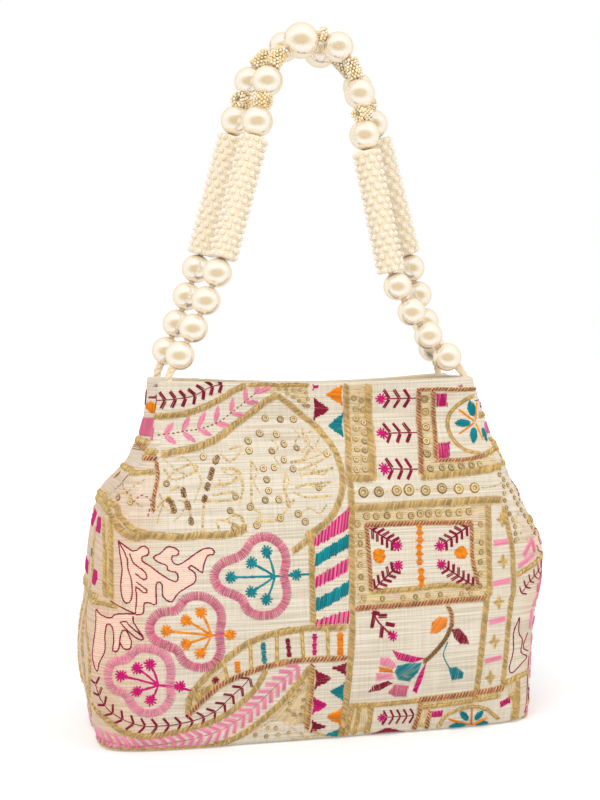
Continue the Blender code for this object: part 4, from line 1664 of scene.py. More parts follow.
    def lens(self) -> None:
        """The long lens between two braids, crossed by bars of colour."""
        w = self.work
        w.braid(
            [(-75.7, 19.2), (-75.1, 28.2), (-68.0, 37.9), (-58.2, 46.5), (-46.7, 54.4), (-35.1, 58.7),
             (-22.5, 60.7), (-28.9, 59.4), (-20.4, 60.6), (-12.0, 61.0), (6.1, 60.2)],
            width=3.2,
        )
        w.braid(
            [(-75.7, 18.8), (-67.8, 26.9), (-59.8, 33.6), (-50.0, 38.1), (-37.6, 42.0), (-25.1, 44.4),
             (-29.0, 43.7), (-17.7, 44.7), (5.6, 44.4)],
            Thread.RED_GOLD, 3.0,
        )
        w.ground(
            [(-74, 22), (-73.5, 28), (-67, 36.5), (-58, 44.5), (-56, 36.5), (-62, 33), (-68, 28)],
            Thread.GROUND, 45.0,
        )
        w.star((-62.3, 36.7), 2.3, Thread.MAROON, 11)
        w.block((-51.3, 45.9), (-50.8, 40.1), 3.8, Thread.ORANGE, 0.2)
        w.block((-38.0, 55.2), (-37.0, 44.0), 3.6, Thread.TEAL, 0.35)
        w.block((-25.1, 56.5), (-24.1, 46.6), 3.4, Thread.MAROON, 0.4)
        w.block((-10.8, 58.1), (-11.0, 46.8), 3.4, Thread.MAGENTA, 0.35)
        w.block((2.8, 58.3), (2.7, 45.3), 4.2, Thread.ORANGE, 0.15)
        for top, foot in (
            ((-57.8, 44.0), (-55.7, 35.5)), ((-44.6, 54.7), (-43.8, 40.7)), ((-30.7, 58.8), (-30.6, 43.6)),
            ((-17.5, 59.7), (-16.7, 44.9)), ((-3.9, 59.8), (-3.7, 45.2)),
        ):
            w.braid([top, foot], Thread.GOLD, 1.6, 1.2)
        w.braid([(-71.8, 25.4), (-69.5, 30.4), (-62.2, 33.4)], Thread.GOLD, 3.0)

    def middle_column(self) -> None:
        """The upright column in the middle: slanting bands of magenta and teal, and flames over and
        under."""
        w = self.work
        w.braid([(-11.3, 107.3), (-11.6, 93.7), (-11.6, 81.5), (-11.4, 63.5)], width=3.0)
        w.braid(
            [(16.8, 186.2), (16.4, 162.4), (12.7, 141.8), (11.5, 124.6), (10.5, 103.7), (10.0, 78.2),
             (9.7, 74.7), (9.3, 59.1), (7.9, 40.5), (6.8, 21.0), (5.4, 0.5)],
            width=3.2,
        )
        rose = [Thread.MAGENTA, Thread.ROSE]
        w.comb(((-9.5, 107.7), (-9.4, 102.0)), ((9.8, 122.2), (8.5, 109.2)), rose)
        w.comb(((-9.2, 99.3), (-9.0, 91.7)), ((8.6, 108.4), (8.3, 100.0)), [Thread.TEAL])
        w.comb(((-9.2, 88.0), (-9.2, 81.0)), ((7.8, 96.2), (7.6, 87.9)), rose)
        w.comb(((-9.3, 76.6), (-9.2, 68.8)), ((7.8, 84.5), (7.6, 75.8)), [Thread.TEAL])
        w.comb(((-9.5, 65.6), (-9.6, 60.9)), ((7.4, 69.8), (7.3, 62.0)), rose)
        w.flame((14.5, 185.7), (5.0, 181.1), (14.8, 174.7), Thread.ORANGE)
        w.flame((-1.3, 178.6), (7.9, 171.9), (-1.7, 166.4), Thread.MAROON)
        w.flame((15.4, 169.6), (5.4, 162.6), (13.4, 157.1), Thread.TEAL)
        w.flame((-1.9, 186.5), (2.7, 185.5), (-1.9, 183.8), Thread.MAGENTA)
        w.flame((6.3, 41.5), (-2.5, 40.0), (6.1, 35.6), Thread.MAROON)
        w.flame((-10.5, 38.8), (-0.9, 34.1), (-10.7, 29.0), Thread.MAROON)
        w.flame((5.5, 30.8), (-2.9, 26.7), (5.6, 21.6), Thread.TEAL)
        w.flame((-11.2, 24.3), (-2.4, 19.2), (-11.2, 15.1), Thread.MAGENTA)
        w.flame((5.3, 16.9), (-4.1, 12.8), (5.1, 7.6), Thread.ORANGE)
        w.flame((-11.2, 11.1), (-2.4, 7.1), (-11.4, 5.2), Thread.MAROON)
        w.flame((4.2, 4.9), (-3.6, 2.5), (3.5, 0.5), Thread.TEAL)
        w.braid([(-12.0, 41.7), (-12.3, 27.3), (-13.4, 6.5)], Thread.RED_GOLD, 2.8)

    def gilt_corner(self) -> None:
        """The gilt triangle and the scalloped scrap under the herringbone band."""
        w = self.work
        w.ground(
            [(-14, 38), (-19.5, 33), (-25, 26), (-31, 19.5), (-38, 13.4), (-29, 13.4), (-19.5, 9),
             (-15, 11)],
            Thread.GROUND, 50.0,
        )
        w.braid([(-12.3, 40.4), (-12.9, 27.5), (-14.1, 9.9)], width=3.0)
        w.net([(-16.5, 32.1), (-20.4, 25.4), (-24.3, 18.6), (-17.3, 14.6), (-16.1, 23.3)])
        w.running([(-25.3, 21.4), (-15.4, 10.0), (-3.0, 1.7)], Thread.GOLD, 1.6, 0.5)
        w.running(
            [(-47.3, 4.5), (-39.1, 9.1), (-29.1, 12.8), (-19.5, 6.7), (-15.0, 3.4)], Thread.GOLD, 1.6, 0.5
        )
        w.rings([(-40.6, 5.4), (-34.8, 4.2), (-29.9, 8.4), (-22.9, 5.0), (-34.0, 8.6), (-28.6, 4.4)], 1.2)
        w.running([(-13.5, 5.3), (-6.5, 2.6), (-21.7, 1.2)], Thread.GOLD, 1.4, 0.6)

    def sequin_column(self) -> None:
        """The upright column of sequins, and the three flowers on its right."""
        w = self.work
        w.ground(
            [(18, 185.6), (28, 185.6), (27.8, 162), (24.2, 136), (13.2, 136.4), (15.4, 150), (17.4, 164)],
            Thread.GROUND,
        )
        w.braid([(28.7, 185.8), (28.4, 162.1), (24.5, 135.1)], width=4.0)
        w.braid([(12.9, 135.8), (19.1, 135.3), (24.5, 135.3)], width=3.6)
        w.rings(
            [(20.9, 178.4), (21.8, 172.1), (21.6, 166.4), (20.7, 160.9), (19.3, 155.6), (18.8, 150.0),
             (17.3, 144.9), (16.5, 139.6)],
            1.5,
        )
        w.rings(
            [(24.9, 176.8), (25.9, 171.5), (25.8, 164.0), (24.9, 158.6), (23.9, 154.2), (22.8, 149.4),
             (22.0, 144.8), (21.3, 139.9)],
            1.5,
        )
        w.running([(23.8, 183.1), (23.2, 162.2), (18.6, 137.6)], Thread.GOLD, 1.2, 0.5)
        for flower, foot in (
            ((35.7, 177.5), (54.6, 177.4)), ((34.5, 158.4), (53.7, 158.3)), ((31.8, 140.1), (50.3, 139.3)),
        ):
            flower, foot = np.array(flower), np.array(foot)
            w.star(flower, 3.4, Thread.MAGENTA, 10)
            run = foot - flower
            w.feather(
                [flower + run * 0.24, flower + run * 0.5, flower + run * 0.82],
                Thread.MAROON, 4.9, 5.6, 3.4, 1.7,
            )
            w.line([flower, flower + run * 0.5, foot], Thread.MAROON, 2.2, 0.9)

    def corner_flower(self) -> None:
        """The square at the top right: half a round flower, magenta squares, and sequins on two sides."""
        w = self.work
        w.ground(
            [(56.5, 181.5), (63.5, 181), (63.3, 161.5), (60.8, 144), (88, 145), (94, 147.5), (97, 140),
             (81, 138), (66.8, 136.8), (52.3, 136.2), (55.8, 161.6)],
            Thread.GROUND,
        )
        w.braid([(56.1, 182.1), (55.7, 161.6), (51.8, 136.3)], Thread.RED_GOLD, 2.9)
        w.braid([(63.9, 180.3), (63.7, 161.5), (60.9, 143.9)], Thread.RED_GOLD, 2.5)
        w.braid([(56.5, 182.1), (67.9, 181.8), (77.9, 181.2), (88.0, 181.0)], Thread.RED_GOLD, 2.0)
        w.rings([(59.1, 176.7), (59.6, 169.6), (59.0, 161.1), (57.6, 153.7), (56.7, 147.1)], 2.0)
        w.satin([(64.6, 180.2), (71.1, 180.0), (71.7, 171.7), (65.4, 171.4)], 88, Thread.MAGENTA)
        w.satin([(63.6, 153.4), (70.6, 153.6), (68.5, 144.1), (62.3, 143.6)], 88, Thread.MAGENTA)
        w.braid([(61.4, 143.6), (75.4, 143.6), (88.1, 145.6)], Thread.RED_GOLD, 2.0)
        w.braid(
            [(86.0, 177.6), (79.8, 174.6), (74.0, 169.8), (71.2, 163.6), (71.3, 157.8), (73.6, 152.5),
             (78.6, 148.5), (85.4, 146.9)],
            Thread.GOLD, 1.9,
        )
        for root, tip, size in (
            ((86.1, 165.8), (83.6, 175.6), 5.4), ((84.2, 163.0), (74.2, 162.9), 5.0), ((85.5, 161.0),
            (82.8, 151.6), 5.2), ((90.1, 160.8), (91.7, 152.0), 3.0),
        ):
            w.leaf(root, tip, size, Thread.TEAL)
        for tip in ((77.1, 170.9), (75.6, 156.8), (88.1, 174.7), (89.6, 153.0)):
            w.bar((86.5, 163.4), tip, 1.0, Thread.ORANGE)
        w.rings(
            [(57.2, 139.5), (63.6, 139.8), (68.7, 139.9), (74.4, 140.4), (80.1, 140.9), (85.0, 141.1)], 1.7
        )
        w.braid([(51.8, 135.2), (66.8, 136.4), (81.1, 137.5), (98.1, 139.5)], width=3.8)
        w.braid([(87.6, 145.6), (93.7, 148.0), (98.0, 150.0)], width=2.6)
        w.braid([(94.2, 154.5), (99.1, 148.0), (104.0, 139.8)], width=2.6)

    def sequin_row(self) -> None:
        """The row of eight large sequins on a gilt thread, and the broad braid under it."""
        w = self.work
        w.running(
            [(13.5, 128.7), (36.2, 128.9), (62.0, 129.3), (87.9, 129.2), (95.9, 130.6)],
            Thread.GOLD, 2.0, 0.4,
        )
        w.rings(
            [(18.5, 128.6), (26.9, 128.6), (36.7, 128.9), (52.8, 128.4), (62.0, 129.3), (71.2, 128.8),
             (80.2, 129.1)],
            2.6,
        )
        w.rings([(43.5, 129.1)], 2.9)
        w.braid(
            [(11.0, 120.9), (28.2, 121.0), (46.5, 121.6), (65.1, 122.0), (84.3, 122.5), (96.0, 122.1)],
            width=4.2,
        )
        w.braid(
            [(87.2, 119.8), (86.5, 100.3), (86.6, 74.0), (85.5, 73.3), (83.5, 56.3), (81.2, 35.2),
             (79.3, 16.3)],
            width=3.2,
        )

    def framed_square(self) -> None:
        """The framed square: four corner vines, orange suns and a row of orange lozenges."""
        w = self.work
        for strip in (
            [(12, 119), (86, 120), (86, 111.2), (45, 112), (12, 111.8)],
            [(12.2, 77.5), (20.5, 77.5), (38.5, 77.6), (63.5, 78.6), (79, 76.2), (86, 77), (85.8, 72.3),
             (58, 71.6), (12.2, 70.8)],
            [(12.4, 112), (18.7, 111.8), (20, 78), (12.2, 78)],
            [(77.2, 111), (86.2, 111), (86.2, 77), (80.2, 76.5), (77.2, 92)],
        ):
            w.ground(strip, Thread.GROUND)
        w.rings(
            [(19.3, 116.4), (24.7, 116.2), (30.6, 116.4), (37.4, 116.2), (43.8, 115.9), (48.9, 116.6)], 1.8
        )
        w.rings(
            [(53.5, 116.4), (59.1, 116.6), (64.7, 116.4), (70.4, 116.6), (76.1, 116.8), (14.1, 112.8)], 1.8
        )
        w.rings([(15.5, 106.9), (15.2, 102.7), (15.0, 97.6), (14.8, 91.6), (15.0, 85.6), (15.2, 79.6)], 1.5)
        w.rings([(82.4, 110.0), (82.4, 100.5), (82.2, 95.3), (81.6, 90.1), (81.4, 84.0), (81.1, 77.4)], 1.5)
        w.running([(13.6, 112.0), (12.8, 95.1), (13.1, 78.0)], Thread.GOLD)
        w.braid([(18.5, 111.8), (45.8, 111.9), (77.2, 111.2)], Thread.RED_GOLD, 2.6)
        w.braid([(77.1, 110.7), (77.0, 92.1), (80.5, 76.1)], Thread.RED_GOLD, 2.2)
        w.braid([(18.9, 111.4), (19.6, 94.8), (20.3, 77.8)], Thread.RED_GOLD, 2.4)
        w.braid([(20.9, 77.8), (38.5, 78.0), (63.5, 79.1), (78.7, 76.6)], Thread.GOLD, 2.6)
        corners = (
            ((20.2, 110.5), (35.6, 100.9)),
            ((20.5, 78.1), (35.3, 90.4)),
            ((76.6, 110.1), (59.1, 99.5)),
            ((79.5, 76.4), (59.3, 89.9)),
        )
        for root, flower in corners:
            root, flower = np.array(root), np.array(flower)
            run = flower - root
            w.feather(
                [root + run * 0.12, root + run * 0.5, root + run * 0.8], Thread.MAROON, 3.4, 4.2, -2.6, 1.5
            )
            w.line([root, root + run * 0.5, flower], Thread.MAROON, 2.2, 1.2)
            w.star(flower, 3.2, Thread.MAGENTA, 10)
        w.star((25.2, 95.8), 3.9, Thread.ORANGE, 14, 0.5)
        w.star((70.7, 95.5), 3.9, Thread.ORANGE, 14, 0.5)
        for centre in ((48.1, 106.8), (47.4, 95.7), (48.0, 83.3)):
            centre = np.array(centre)
            w.block(centre + (0, 5.6), centre - (0, 5.6), 5.4, Thread.ORANGE, 0.55)
        w.rings(
            [(16.0, 74.9), (26.2, 73.9), (37.5, 73.7), (44.4, 74.0), (51.3, 74.4), (58.3, 74.4),
             (70.5, 74.2), (75.8, 74.1)],
            1.4,
        )
        w.running([(13.1, 73.2), (38.4, 72.8), (78.7, 73.3)], Thread.GOLD)
        w.braid([(11.9, 69.6), (28.6, 70.0), (58.3, 70.6), (85.1, 71.0)], Thread.RED_GOLD, 3.0)

    def bent_flower(self) -> None:
        """The panel with one large bent flower on a brown stem."""
        w = self.work
        for start, end in (
            ((21.7, 67.2), (19.6, 58.7)), ((23.1, 65.2), (28.7, 65.2)), ((25.5, 60.0), (24.6, 53.5)),
            ((27.0, 61.3), (32.8, 59.8)), ((20.2, 67.3), (24.6, 66.4)),
        ):
            w.bar(start, end, 2.2, Thread.MAROON)
        w.line([(20.2, 67.3), (24.5, 61.0), (30.3, 55.2)], Thread.MAROON, 2.2, 1.3)
        w.star((31.1, 54.5), 3.0, Thread.MAGENTA, 9)
        w.satin([(24.5, 44.0), (29.3, 43.8), (33.6, 39.2), (31.7, 36.8), (23.8, 39.4)], 60, Thread.PINK)
        w.satin([(23.4, 39.0), (31.5, 37.2), (32.2, 34.8), (23.2, 36.1)], 0, Thread.ORANGE)
        w.satin([(22.2, 35.5), (31.8, 34.8), (32.7, 31.8), (21.2, 30.8)], 10, Thread.PINK)
        w.satin([(30.8, 47.2), (38.7, 44.8), (49.3, 41.4), (42.2, 39.3), (33.5, 41.5)], 65, Thread.MAGENTA)
        w.satin([(18.4, 24.9), (20.9, 28.9), (28.8, 31.0), (31.7, 29.1), (25.2, 25.4)], 100, Thread.MAROON)
        w.satin([(29.2, 23.8), (33.0, 29.0), (41.0, 27.6), (39.5, 20.3), (33.3, 20.8)], 85, Thread.ROSE)
        w.satin([(42.8, 23.8), (45.3, 31.9), (50.0, 39.6), (48.9, 31.3), (45.6, 22.4)], 20, Thread.MAGENTA)
        w.satin(
            [(33.9, 38.7), (40.2, 40.0), (48.7, 40.0), (45.9, 34.5), (40.9, 29.2), (33.8, 29.8),
             (31.9, 34.8)],
            35, Thread.TEAL,
        )
        w.line([(37.6, 32.6), (40.4, 34.9), (42.9, 36.2)], Thread.GOLD, 1.4, 0.9)
        w.line([(36.5, 34.2), (38.6, 32.1), (41.6, 31.9)], Thread.GOLD, 1.4, 0.9)
        w.braid([(48.7, 39.5), (55.1, 44.8), (60.9, 51.1), (64.7, 58.6)], Thread.BROWN, 2.0)
        w.braid([(64.7, 58.4), (64.2, 64.3), (62.2, 68.0)], Thread.RED_GOLD, 2.2)
        w.satin(
            [(51.3, 53.6), (53.1, 60.1), (58.1, 63.7), (62.7, 62.5), (61.3, 57.4), (55.3, 53.5)],
            50, Thread.ORANGE,
        )
        w.satin(
            [(64.3, 55.8), (69.0, 56.6), (73.3, 51.8), (74.6, 47.2), (69.4, 46.9), (65.6, 50.7)],
            70, Thread.MAROON,
        )
        w.line([(62.1, 49.1), (59.6, 42.8), (62.4, 36.7), (65.1, 33.1)], Thread.TEAL, 1.8, 0.9)
        w.satin([(62.9, 35.2), (67.5, 35.9), (71.8, 32.1), (71.2, 28.3), (64.9, 27.4)], 80, Thread.TEAL)

    def right_column(self) -> None:
        """The narrow column of gilt crosses and pink bars near the right corner."""
        w = self.work
        for cross in ((95.0, 112.0), (94.9, 89.7), (92.4, 68.0), (89.7, 47.2), (87.8, 27.7)):
            cross = np.array(cross)
            for way in ((3.6, 0.2), (-3.6, -0.2), (-0.2, 4.4), (0.2, -4.4)):
                w.leaf(cross, cross + way, 2.4, Thread.GOLD)
        for left, right in (
            ((88.7, 99.7), (98.9, 100.4)), ((88.0, 77.9), (100.2, 79.4)), ((85.6, 57.6), (97.3, 59.0)),
            ((83.2, 36.8), (94.9, 38.4)),
        ):
            w.bar(left, right, 3.0, Thread.PINK)
        w.braid(
            [(96.6, 118.4), (98.3, 108.3), (100.6, 95.1), (101.3, 72.8), (100.1, 69.3), (97.5, 47.4),
             (95.3, 21.8)],
            width=2.8,
        )

    def right_edge(self) -> None:
        """The scraps round the right corner: gilt net, pink chevrons, a vine and more coral."""
        w = self.work
        w.net([(96.6, 135.3), (102.3, 128.8), (107.1, 119.7), (112.9, 110.6), (118.4, 103.1)], radius=1.3)
        w.net([(98.5, 129.1), (98.3, 118.7), (102.7, 109.8), (102.9, 100.2)], radius=1.2)
        w.running(
            [(108.8, 116.1), (104.0, 111.4), (109.2, 106.7), (104.1, 101.8), (111.9, 100.3)], Thread.GOLD
        )
        w.bar((103.7, 85.8), (115.9, 92.4), 3.0, Thread.PINK)
        w.bar((107.4, 91.0), (114.7, 101.4), 2.6, Thread.PINK)
        w.bar((115.9, 92.4), (114.4, 99.2), 2.4, Thread.ROSE)
        w.braid([(103.6, 81.9), (112.3, 85.5), (126.0, 91.0)], width=2.6)
        w.feather(
            [(106.6, 71.6), (112.4, 77.7), (118.5, 81.7), (126.0, 87.0)], Thread.MAROON, 4.2, 3.6, -2.0, 1.0
        )
        w.bar((125.6, 75.6), (115.6, 62.5), 2.6, Thread.PINK)
        w.bar((115.6, 62.5), (114.7, 50.8), 2.8, Thread.PINK)
        w.line(
            [(105.7, 58.6), (101.8, 50.8), (101.7, 41.0), (99.2, 31.4), (101.2, 28.6), (108.0, 33.2),
             (112.7, 36.3), (107.0, 39.3), (108.1, 46.0), (105.3, 50.4), (105.7, 58.3)],
            Thread.MAROON, 1.8, 1.0,
        )
        w.line([(112.4, 49.3), (108.5, 42.0), (113.9, 38.9)], Thread.MAROON, 1.8, 1.0)
        w.line([(115.0, 35.8), (114.0, 24.9), (115.0, 10.3), (113.4, 4.0)], Thread.MAROON, 1.8, 1.0)
        w.braid([(97.1, 23.6), (103.9, 25.7), (113.7, 27.2)], width=2.8)
        w.braid([(100.9, 17.0), (104.9, 12.3), (104.8, 1.1)], width=4.0)
        w.braid([(105.3, 24.5), (106.5, 12.1), (106.0, 1.4)], width=3.0)

    def bottom_strip(self) -> None:
        """The strip along the bottom at the right: a vine, gilt stripes and half a round flower."""
        w = self.work
        for strip in (
            [(9.5, 17.2), (20.6, 17), (19.8, 3.2), (8, 3.2)],
            [(48, 16.2), (53.3, 16.5), (52.6, 3.2), (46, 3.2)],
            [(48, 18.6), (95, 20.2), (94, 17), (69.9, 15.2), (48.3, 14.6)],
            [(97, 23), (104, 24.5), (106, 12), (105.5, 3.2), (101.5, 3.2), (101.5, 14), (99, 19)],
        ):
            w.ground(strip, Thread.GROUND, 90.0)
        w.braid([(8.9, 18.1), (29.6, 17.7), (47.4, 18.3)], width=2.6)
        w.braid([(47.4, 18.4), (69.5, 19.2), (96.5, 20.9)], Thread.RED_GOLD, 3.4)
        w.braid([(48.2, 14.3), (69.9, 14.9), (94.0, 16.7)], Thread.GOLD, 2.2)
        w.braid([(10.3, 17.7), (9.2, 8.8), (7.7, 0.8)], width=2.4)
        w.braid([(14.5, 17.4), (13.6, 8.4), (12.2, 1.0)], width=2.0)
        w.braid([(21.0, 16.9), (20.5, 9.9), (19.6, 1.1)], width=2.6)
        w.star((27.4, 9.9), 3.0, Thread.MAGENTA, 9)
        w.feather([(30.1, 9.9), (37.1, 9.8), (45.0, 9.8)], Thread.MAROON, 3.6, 4.4, 2.6, 1.1)
        w.flame((22.8, 0.5), (30.5, 3.9), (40.1, 0.5), Thread.MAROON)
        w.braid([(48.3, 16.6), (47.5, 9.8), (45.5, 1.7)], Thread.RED_GOLD, 2.6)
        w.braid([(53.7, 11.4), (53.2, 7.3), (52.3, 1.5)], Thread.RED_GOLD, 2.4)
        w.satin([(54.7, 11.5), (61.4, 11.7), (60.7, 7.5), (54.4, 7.4)], 80, Thread.MAGENTA)
        w.satin([(94.5, 13.3), (100.4, 15.9), (101.3, 11.7), (94.8, 9.4)], 80, Thread.MAGENTA)
        w.braid(
            [(59.1, 1.3), (62.2, 7.4), (69.1, 10.9), (77.3, 12.2), (85.8, 10.1), (94.1, 3.6)],
            Thread.GOLD, 1.8,
        )
        for root, tip in (
            ((76.3, 4.4), (71.0, 10.1)), ((75.7, 2.2), (64.9, 1.3)), ((79.9, 4.3), (84.8, 9.5)),
            ((80.6, 1.8), (88.8, 1.1)),
        ):
            w.leaf(root, tip, 4.4, Thread.TEAL)
        for tip in ((77.9, 11.9), (63.8, 6.5), (87.8, 5.3)):
            w.bar((78.0, 1.2), tip, 1.1, Thread.ORANGE)

    def draw(self) -> None:
        """Draws every panel."""
        for panel in (
            self.top_vines,
            self.paisley,
            self.folded_side,
            self.side_strip,
            self.coral,
            self.trefoils,
            self.lower_vines,
            self.lens,
            self.middle_column,
            self.gilt_corner,
            self.sequin_column,
            self.corner_flower,
            self.sequin_row,
            self.framed_square,
            self.bent_flower,
            self.right_column,
            self.right_edge,
            self.bottom_strip,
        ):
            panel()


@dataclass
class ClothBag:
    """The sewn bag: its embroidered shell, its lining, the stiff board and the snap.

    Attributes:
        form: The cloth's form.
        hem_round: Radius that the hem's edges are rounded with.
        base_round: Radius that the base's edge is rounded with.
        base_cloth: Thickness of the base's cloth.
        board: Thickness of the board over it.
        lining_drop: How far the lining's edge is below the mouth.
        warm_light_left: Where the painted warm bounce light, a peach tint, begins towards the left end.
        warm_light_right: Where it begins towards the right end.
    """

    form: ClothForm
    hem_round: float = 0.0016
    base_round: float = BASE_ROUND
    base_cloth: float = 0.0020
    board: float = 0.0020
    lining_drop: float = 0.0006
    # Where the painted warm bounce light, a peach tint, begins at each end
    warm_light_left: float = -0.082
    warm_light_right: float = 0.100

    def shell(self, finish: bpy.types.Material) -> bpy.types.Object:
        """Builds the cloth: out from the middle of the base, up the outside, over the hem and down the
        inside to the base again, as one closed skin.

        Args:
            finish: The cloth's material.

        Returns:
            The cloth, which replaces the sleeve and the base panel.
        """
        form = self.form
        floor = form.section(0.0, self.base_round) * (1, 1, 0)
        rings = [floor * (share, share, 1) for share in (0.02, 0.5, 0.9)] + [floor]
        for angle in np.radians((30, 60, 80)):
            out = self.base_round * (1 - math.sin(angle))
            rise = self.base_round * (1 - math.cos(angle))
            rings.append(form.section(0.0, out) * (1, 1, 0) + (0, 0, rise))
        side = (form.heights > self.base_round + 0.001) & (form.heights < form.height - self.hem_round)
        rings += list(form.rings[side])
        for start, sign, angles in ((0.0, 1, (15, 45, 75)), (form.hem_thickness, -1, (75, 45, 15))):
            for angle in np.radians(angles):
                drop = self.hem_round * (1 - math.sin(angle))
                inset = start + sign * self.hem_round * (1 - math.cos(angle))
                rings.append(form.section(form.height, inset) - (0, 0, drop))
        inner = form.heights[(form.heights > 0.01) & (form.heights < form.height - 0.004)][::-6]
        rings += [form.section(z, form.wall_at(z)) for z in inner]
        inside = form.section(0.0, form.cloth) * (1, 1, 0) + (0, 0, self.base_cloth)
        rings += [inside, inside * (0.5, 0.5, 1), inside * (0.02, 0.02, 1)]
        shape = self._skin(np.stack(rings))
        obj = shape.placed("embroidered_cloth", [finish])
        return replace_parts(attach(obj, "root"), "outer_sleeve", "base_panel")

    def _skin(self, rings: Array) -> Shape:
        """Makes a skin through rings, closed at both ends, with the cloth's own coordinates.

        Args:
            rings: The rings, each with a row of points. The fourth is at the edge of the base.

        Returns:
            The skin.
        """
        rows, columns = rings.shape[:2]
        points = rings.reshape(-1, 3)
        quads = grid_faces(rows, columns)
        last = (rows - 1) * columns + np.arange(columns)
        ends = [np.arange(columns)[None, ::-1], last[None]]
        steps = np.linalg.norm(np.diff(rings, axis=1, append=rings[:, :1]), axis=2)
        along = np.concatenate([np.zeros((rows, 1)), np.cumsum(steps, axis=1)], axis=1)
        along -= along[:, self.form.long_cells // 2, None]
        climb = np.concatenate([[0], np.cumsum(np.linalg.norm(np.diff(rings[:, 0], axis=0), axis=1))])
        climb -= climb[3]
        near = np.arange(rows - 1)[:, None]
        column = np.arange(columns)[None]
        corners = [(near, column), (near, column + 1), (near + 1, column + 1), (near + 1, column)]
        u = np.stack([along[r, c] for r, c in corners], axis=-1).reshape(-1)
        v = np.stack([climb[r + 0 * c] for r, c in corners], axis=-1).reshape(-1)
        extra = np.zeros((2 * columns, 2))
        cloth = np.concatenate([np.stack([u, v], axis=1), extra])
        x = points[:, 0]
        # Painted warm bounce light: a peach tint that grows towards the left and right ends of the bag
        warm_light = 0.9 * np.clip((self.warm_light_left - x) / 0.034, 0, 1)
        warm_light += 0.7 * np.clip((x - self.warm_light_right) / 0.02, 0, 1)
        return Shape(points, [quads, *ends], cloth=cloth, warm_light=warm_light)

    def lining(self, finish: bpy.types.Material) -> bpy.types.Object:
        """Builds the lining: a thin bag inside the cloth, open at the mouth.

        Args:
            finish: The lining's material.

        Returns:
            The lining, which replaces its solid.
        """
        form = self.form
        floor = self.base_cloth + form.gap + self.board + form.gap
        heights = np.linspace(floor, form.height - self.lining_drop, 26)
        rings = [form.section(z, form.wall_at(z) + form.gap) for z in heights]
        rings += [form.section(z, form.wall_at(z) + form.gap + form.lining) for z in heights[::-1]]
        rings[-1] = rings[-1] + (0, 0, form.lining)
        shape = self._skin(np.stack(rings))
        obj = shape.placed("satin_lining", [finish])
        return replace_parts(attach(obj, "root"), "lining")

    def snap(self, finish: bpy.types.Material) -> list[bpy.types.Object]:
        """Builds the snap's two halves, each a dished disc where its solid is.

        Args:
            finish: The snap's material.

        Returns:
            The two halves, which replace their solids.
        """
        made = []
        for node, sign in (("snap_stud", 1.0), ("snap_socket", -1.0)):
            low, high = (np.array(corner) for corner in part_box(node))
            radius, half = (high[2] - low[2]) / 2, (high[1] - low[1]) / 2
            rim = [(0.92, 1.0), (1.0, 0.7), (1.0, -0.7), (0.92, -1.0)]
            dish = [(0.06, -1.0), (0.06, 0.4), (0.45, 0.4), (0.55, 1.0)]
            profile = np.array(rim + dish) * (radius, half)
            shape = turned(profile, 32, (low + high) / 2, np.array([0.0, sign, 0.0]))
            obj = shape.placed(f"{node}_disc", [finish])
            made.append(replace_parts(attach(obj, "root"), node))
        return made


@dataclass(frozen=True)
class Strung:
    """A bead's place, read from its solid.

    Attributes:
        node: The bead's node.
        centre: Its middle.
        axis: Direction of its cord.
        half: Its half length along that.
        radius: Its radius.
    """

    node: str
    centre: Array
    axis: Array
    half: float
    radius: float


